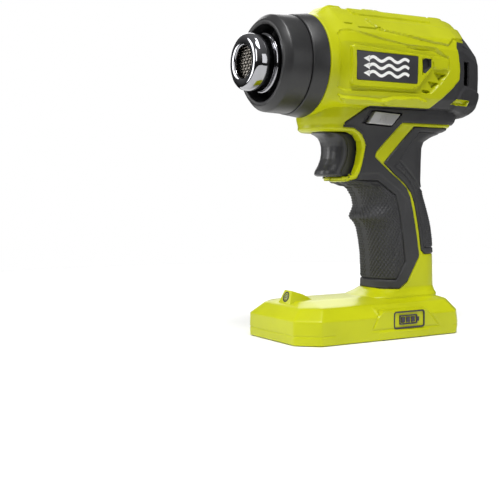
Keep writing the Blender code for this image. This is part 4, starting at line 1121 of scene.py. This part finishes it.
def build_deck():
    """Half the floor plate of the battery recess, and the walls of its socket."""
    half, front, rear = SOCKET
    edge, nose, tail = 35.6, -20.4, 103.3
    outer, before, after = half + SOCKET_WALL, front - SOCKET_WALL, rear + SOCKET_WALL
    plates = [[(SEAM_X, nose), (25.6, nose), (edge, -8.6), (edge, front), (SEAM_X, front)],
              [(half, front), (edge, front), (edge, rear), (half, rear)],
              [(SEAM_X, rear), (edge, rear), (edge - 6.8, tail), (SEAM_X, tail)]]
    walls = [[(half, front), (outer, front), (outer, rear), (half, rear)],
             [(SEAM_X, before), (outer, before), (outer, front), (SEAM_X, front)],
             [(SEAM_X, rear), (outer, rear), (outer, after), (SEAM_X, after)]]
    return [upright(plate, DECK_Z, DECK_TOP) for plate in plates] + \
        [upright(wall, DECK_Z + 0.2, SOCKET_TOP) for wall in walls]


print("deck plates and socket walls in a half:", len(build_deck()))

# %% [markdown]
# A small hood on the foot points a lamp at the work. It is the hull of a few corners, like the
# faceted moulding it is.

# %% Lamp hood on the foot


def convex(points):
    """The convex hull of some places."""
    bm = bmesh.new()
    for p in points:
        bm.verts.new(p)
    result = bmesh.ops.convex_hull(bm, input=bm.verts)
    spare = [v for v in result["geom_interior"] if isinstance(v, bmesh.types.BMVert)]
    bmesh.ops.delete(bm, geom=spare, context="VERTS")
    bm.verts.index_update()
    out = np.array([v.co for v in bm.verts]), [tuple(v.index for v in f.verts) for f in bm.faces]
    bm.free()
    return out


LAMP, LAMP_WAY = (0.0, -11.6, 27.3), (0.0, -0.944, 0.330)
hood_points = [(sign * x, s, z) for sign in (-1, 1) for x, s, z in
               ((4.0, -10.6, 31.7), (7.0, -13.4, 23.4), (7.2, -13.8, 21.0), (7.5, 9.8, 22.0),
                (7.5, 9.8, 21.0), (5.2, -2.0, 28.9))]
print("the hood has", len(convex(hood_points)[1]), "faces")
# %% Build the body
sides = {"left": 1, "right": -1}
for label, side in sides.items():
    parts = build_half(side)
    parts["lime"].append(build_foot(side))
    parts["lime"] += build_deck()
    if side < 0:
        parts = {key: [mirrored(part) for part in value] for key, value in parts.items()}
    make_piece("body_" + label, parts["lime"], lime_abs,
               stands_for=["housing_" + label, "foot_" + label, "foot_rim_" + label])
    make_piece("grip_" + label, parts["cover"], grey_rubber, stands_for=["grip_cover_" + label])
    make_piece("strap_" + label, parts["strap"], grey_rubber, stands_for=["backstrap_" + label])
make_piece("lamp_hood", [convex(hood_points)], lime_abs, bevel=0.5)
bezel_profile = [(2.45, 0.1), (2.45, 0.5), (3.1, 0.75), (3.5, 0.5), (3.6, 0.1)]
make_piece("lamp_bezel", [turned(bezel_profile, 48, LAMP, LAMP_WAY)], shroud_nylon)
window_profile = [(0.01, -3.0), (2.4, -3.0), (2.4, 0.3), (1.9, 0.65), (1.0, 0.85), (0.01, 0.9)]
make_piece("lamp_window", [turned(window_profile, 40, LAMP, LAMP_WAY, True)], lens_clear,
           stands_for=["lamp_lens"])

# %% [markdown]
# ## Front end
# A black nylon shroud in two rings keeps hands off the outlet. The outlet is a drawn, rolled and
# chromed steel tube: its lip is rolled over, and a bead stops a slip-on nozzle. Both are turned
# from a profile with every small radius in it, since the radii are what catch the light.

# %% Shroud and outlet
ring_profile = [(24.1, -29.8), (24.3, -30.3), (24.9, -30.6), (26.3, -30.6), (26.9, -30.45), (27.5, -29.9),
                (30.0, -27.2), (30.4, -26.5), (30.55, -25.4), (31.15, -13.0), (31.1, -12.4), (30.7, -12.1),
                (27.6, -12.1), (25.6, -14.5), (24.4, -15.6), (24.1, -17.0)]
make_piece("heat_ring", [turned(ring_profile, 160)], shroud_nylon, stands_for=["shroud_ring"],
           smooth=50)
collar_profile = [(18.4, -11.5), (30.9, -11.55), (31.45, -11.3), (31.75, -10.7), (33.0, -1.2), (33.1, -0.6),
                  (32.7, -0.3), (29.5, -0.3), (28.4, -8.8), (18.4, -8.8)]
make_piece("heat_collar", [turned(collar_profile, 160)], shroud_nylon,
           stands_for=["shroud_collar"], smooth=50)
outlet_profile = [(10.3, -42.6), (10.2, -43.1), (10.3, -43.6), (10.8, -44.0), (11.8, -44.25), (13.2, -44.4),
                  (14.4, -44.35), (15.5, -44.05), (16.4, -43.5), (17.1, -42.7), (17.6, -41.7), (17.85, -40.6),
                  (17.9, -39.4), (17.9, -31.9), (17.8, -31.5), (17.3, -31.1), (17.2, -30.7), (17.3, -30.3),
                  (17.9, -30.1), (18.5, -29.9), (18.8, -29.5), (18.85, -29.1), (18.7, -28.6), (18.2, -28.2),
                  (17.9, -27.8), (17.9, -8.2), (18.1, -7.4), (20.4, 0.6), (20.6, 1.2), (20.6, 7.0),
                  (19.9, 7.0), (19.9, 1.4), (17.0, -7.4), (16.6, -28.0), (16.6, -31.0), (17.0, -32.2),
                  (17.0, -40.6), (16.6, -42.0), (15.5, -43.1), (14.0, -43.5), (12.2, -43.35), (11.4, -42.8)]
make_piece("outlet", [turned(outlet_profile, 160)], chrome, stands_for=["outlet_tube"],
           smooth=45)

# %% [markdown]
# ## Guard in the outlet
# A woven wire guard keeps fingers off the hot wires. The two sets of wires really pass over and
# under each other, and a flat ring holds them. The real mesh is about 1.2 mm apart, and is drawn
# at 1.9 mm so that single wires show.

# %% Woven guard
GUARD_R, GUARD_S, WEAVE_MM, WIRE_R = 15.8, -39.9, 1.9, 0.27
guard_ring = [(r, GUARD_S + d) for r, d in ((15.2, -0.45), (16.6, -0.45), (16.6, 0.45), (15.2, 0.45))]
guard_parts = [turned(guard_ring, 96)]
for index in range(-8, 9):
    offset = index * WEAVE_MM
    reach = math.sqrt(max(0.0, GUARD_R ** 2 - offset ** 2))
    if reach < 2:
        continue
    run = np.arange(-reach, reach, WEAVE_MM / 6)
    wave = 0.2 * np.cos(np.pi * run / WEAVE_MM + np.pi * index)
    up = np.stack([np.full(len(run), offset), GUARD_S + wave, AXIS_Z + run], 1)
    across = np.stack([run, GUARD_S - wave, np.full(len(run), AXIS_Z + offset)], 1)
    guard_parts += [swept(up, WIRE_R, 6), swept(across, WIRE_R, 6)]
make_piece("outlet_guard", guard_parts, wire_steel, stands_for=["outlet_grille"], smooth=60)

# %% [markdown]
# ## Trigger and lock slider
# The trigger is a glossy black moulding with a hollow front for the finger, and its sides are set
# in a little behind a step. The slider locks it: a silver block that can be pushed from either
# side, with three fine ribs for the thumb.

# %% Trigger key
TRIGGER_FRONT = [(105.5, 14.4), (106.2, 13.3), (107.2, 13.1), (109.1, 13.6), (113.0, 16.1), (117.0, 17.9),
                 (121.0, 18.6), (124.9, 18.5), (128.0, 17.6), (130.6, 16.0), (132.4, 13.4), (133.9, 8.6)]
trigger_heights = np.linspace(105.5, 133.9, 76)
trigger_front = rounded_table(TRIGGER_FRONT, trigger_heights, 1.6)[:, 0]
trigger_rows = []
for z, front in zip(trigger_heights, trigger_front):
    end = min(z - 105.5, 133.9 - z)
    inset = 0.7 * max(0.0, 1 - end / 0.9) ** 2
    half, rear, front_r = 11.1 - inset, 44.0, 9.3
    turns = np.radians(np.linspace(0, 90, 22))
    ahead = np.stack([half - front_r + front_r * np.sin(turns),
                      front + inset + (front_r - front_r * np.cos(turns)) * 0.94], 1)
    side_line = [(half, front + 10.0), (half - 0.55, front + 10.5), (half - 0.55, rear - 1.2)]
    line = np.concatenate([[(0, front + inset)], ahead, side_line, [(half - 1.4, rear), (0, rear)]])
    dense = resampled(line, 96)
    ring = np.concatenate([dense, dense[-2:0:-1] * (-1, 1)])
    trigger_rows.append(np.column_stack([ring, np.full(len(ring), z)]))
places = np.concatenate(trigger_rows)
count = len(trigger_rows[0])
faces = ring_faces(len(trigger_rows), count) + end_faces(len(trigger_rows), count)
make_piece("trigger_key", [(places, faces)], trigger_abs, "trigger", ["trigger"],
           smooth=40)

# %% Lock slider and spring
LOCK_X = (14.0, 22.6)
slider_parts = []
for sign in (1, -1):
    slider_parts.append(prism(LOCK, sign * LOCK_X[0], sign * LOCK_X[1]))
make_piece("lock_button", slider_parts, silver_paint, "lock", ["lock_slider"], bevel=0.55)
ribs = []
for sign in (1, -1):
    for k in range(3):
        s0 = 46.6 + 2.4 * k
        rib = [(s0 - 0.5, 140.9), (s0 + 0.5, 140.9), (s0 + 2.6, 145.4), (s0 + 1.6, 145.4)]
        ribs.append(prism(rib, sign * (LOCK_X[1] - 0.2), sign * (LOCK_X[1] + 0.18)))
make_piece("lock_ribs", ribs, silver_paint, "lock", bevel=0.12)
turns = np.linspace(0, 2 * np.pi * 6, 6 * 28)
coil = np.stack([4.4 * np.cos(turns), 45.6 + 9.6 * turns / turns[-1], 118 + 4.4 * np.sin(turns)], 1)
spring = make_piece("return_spring", [swept(coil, 0.38, 10)], spring_steel,
                    stands_for=["trigger_spring"], smooth=60)
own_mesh(spring)

# %% [markdown]
# ## Name plate, badge and screws
# Plate and badge carry plain pictures instead of words: three waves of hot air on the plate, and
# a battery with charge bars on the badge. Screws are thread-forming ones with a six-lobe recess,
# all driven from the right side.

# %% Flat shapes


def rounded_outline(outline, radius, steps=5):
    """A closed outline with its corners rounded."""
    a = np.asarray(outline, float)
    out = []
    for i, here in enumerate(a):
        before, after = a[i - 1], a[(i + 1) % len(a)]
        one = (before - here) / np.linalg.norm(before - here)
        two = (after - here) / np.linalg.norm(after - here)
        start, end = here + one * radius, here + two * radius
        for k in range(steps + 1):
            t = k / steps
            out.append((1 - t) ** 2 * start + 2 * t * (1 - t) * here + t * t * end)
    return np.array(out)


def ribbon(line, width, x0, x1):
    """A flat strip of a width along a side view line, pulled from x0 to x1."""
    line = np.asarray(line, float)
    ahead = np.gradient(line, axis=0)
    ahead /= np.linalg.norm(ahead, axis=1)[:, None]
    across = np.stack([-ahead[:, 1], ahead[:, 0]], 1) * width / 2
    a, b = line + across, line - across
    n = len(line)
    rows = [np.column_stack([np.full(n, x), p]) for x, p in ((x0, a), (x1, a), (x1, b), (x0, b))]
    places = np.concatenate(rows)
    faces = [(i * n + k, i * n + k + 1, (i + 1) % 4 * n + k + 1, (i + 1) % 4 * n + k)
             for i in range(4) for k in range(n - 1)]
    faces += [(0, n, 2 * n, 3 * n), (n - 1, 2 * n - 1, 3 * n - 1, 4 * n - 1)]
    return places, faces


def ring_ribbon(outline, width, x0, x1):
    """A closed strip of a width inside a side view outline."""
    a, b = np.asarray(outline, float), grown(outline, -width)
    n = len(a)
    rows = [np.column_stack([np.full(n, x), p]) for x, p in ((x0, a), (x1, a), (x1, b), (x0, b))]
    return np.concatenate(rows), ring_faces(4, n, True)


print("a plate outline with round corners has", len(rounded_outline(PLATE, 1.3)), "points")

# %% Plates, waves and badges
for label, side in sides.items():
    plate = rounded_outline(PLATE, 1.3)
    make_piece("plate_" + label, [prism(plate, side * 31.7, side * 32.6)], plate_abs,
               stands_for=["name_plate_" + label], bevel=0.25)
    waves = []
    for row in range(3):
        run = np.linspace(29.5, 62.0, 60)
        height = 170.3 + row * 4.6 + 1.25 * np.sin((run - 29.5) * 2 * np.pi / 13.0)
        waves.append(ribbon(np.stack([run, height], 1), 1.9, side * 32.5, side * 32.7))
        tip = 170.3 + row * 4.6
        waves.append(prism([(25.2, tip), (30.0, tip + 2.1), (30.0, tip - 2.1)], side * 32.5, side * 32.7))
    make_piece("plate_waves_" + label, waves, mark_white)
    badge = rounded_outline(BADGE_BORDER, 2.4, 8)
    outline = [ring_ribbon(badge, 0.9, side * 38.1, side * 38.85)]
    cell = rounded_outline([(50.6, 9.0), (65.4, 9.0), (65.4, 15.2), (50.6, 15.2)], 1.0)
    outline.append(ring_ribbon(cell, 0.8, side * 38.1, side * 38.85))
    outline.append(prism([(65.6, 10.7), (66.9, 10.7), (66.9, 13.5), (65.6, 13.5)], side * 38.1, side * 38.85))
    for k in range(3):
        s0 = 52.2 + 4.1 * k
        outline.append(prism([(s0, 10.4), (s0 + 3.0, 10.4), (s0 + 3.0, 13.8), (s0, 13.8)],
                             side * 38.1, side * 38.8))
    make_piece("badge_marks_" + label, outline, badge_ink, stands_for=["badge_" + label])

# %% Screws


def screw_part(s, z):
    """A pan-head screw with a six-lobe recess, driven from the right side."""
    sides, lobes = 48, 6
    turns = np.arange(sides) * 2 * np.pi / sides
    lobe = 1.45 + 0.28 * np.cos(lobes * turns)
    rows = [(-10.6, lobe * 0.9), (-12.2, lobe), (-12.38, lobe + 0.12), (-12.4, np.full(sides, 2.2)),
            (-12.1, np.full(sides, 2.9)), (-11.5, np.full(sides, 3.25)), (-10.4, np.full(sides, 3.3)),
            (-10.3, np.full(sides, 3.2)), (-10.3, np.full(sides, 1.4)), (7.6, np.full(sides, 1.4)),
            (8.4, np.full(sides, 0.6))]
    rings = [np.column_stack([np.full(sides, x), s + r * np.cos(turns), z + r * np.sin(turns)])
             for x, r in rows]
    return np.concatenate(rings), ring_faces(len(rows), sides) + end_faces(len(rows), sides)


for number, (s, z) in enumerate(SCREWS, 1):
    make_piece(f"body_screw_{number}", [screw_part(s, z)], screw_steel,
               stands_for=[f"screw_{number}"])

# %% [markdown]
# ## Parts that keep their shape
# The heater, fan, motor, switch, board and leads are already right. They keep their solids and get
# the finish that their slot names.

# %% Finishes for the inner parts
record_slots = {item["node"]: item["material_slot"] for item in frame["record"]["subparts"]}
for node, kept in frame["nodes"].items():
    for holder in kept.material_slots:
        holder.material = finishes[record_slots[node]]
print("finished", len(frame["nodes"]), "carried-over solids")

# %% Update the scene
bpy.context.view_layer.update()
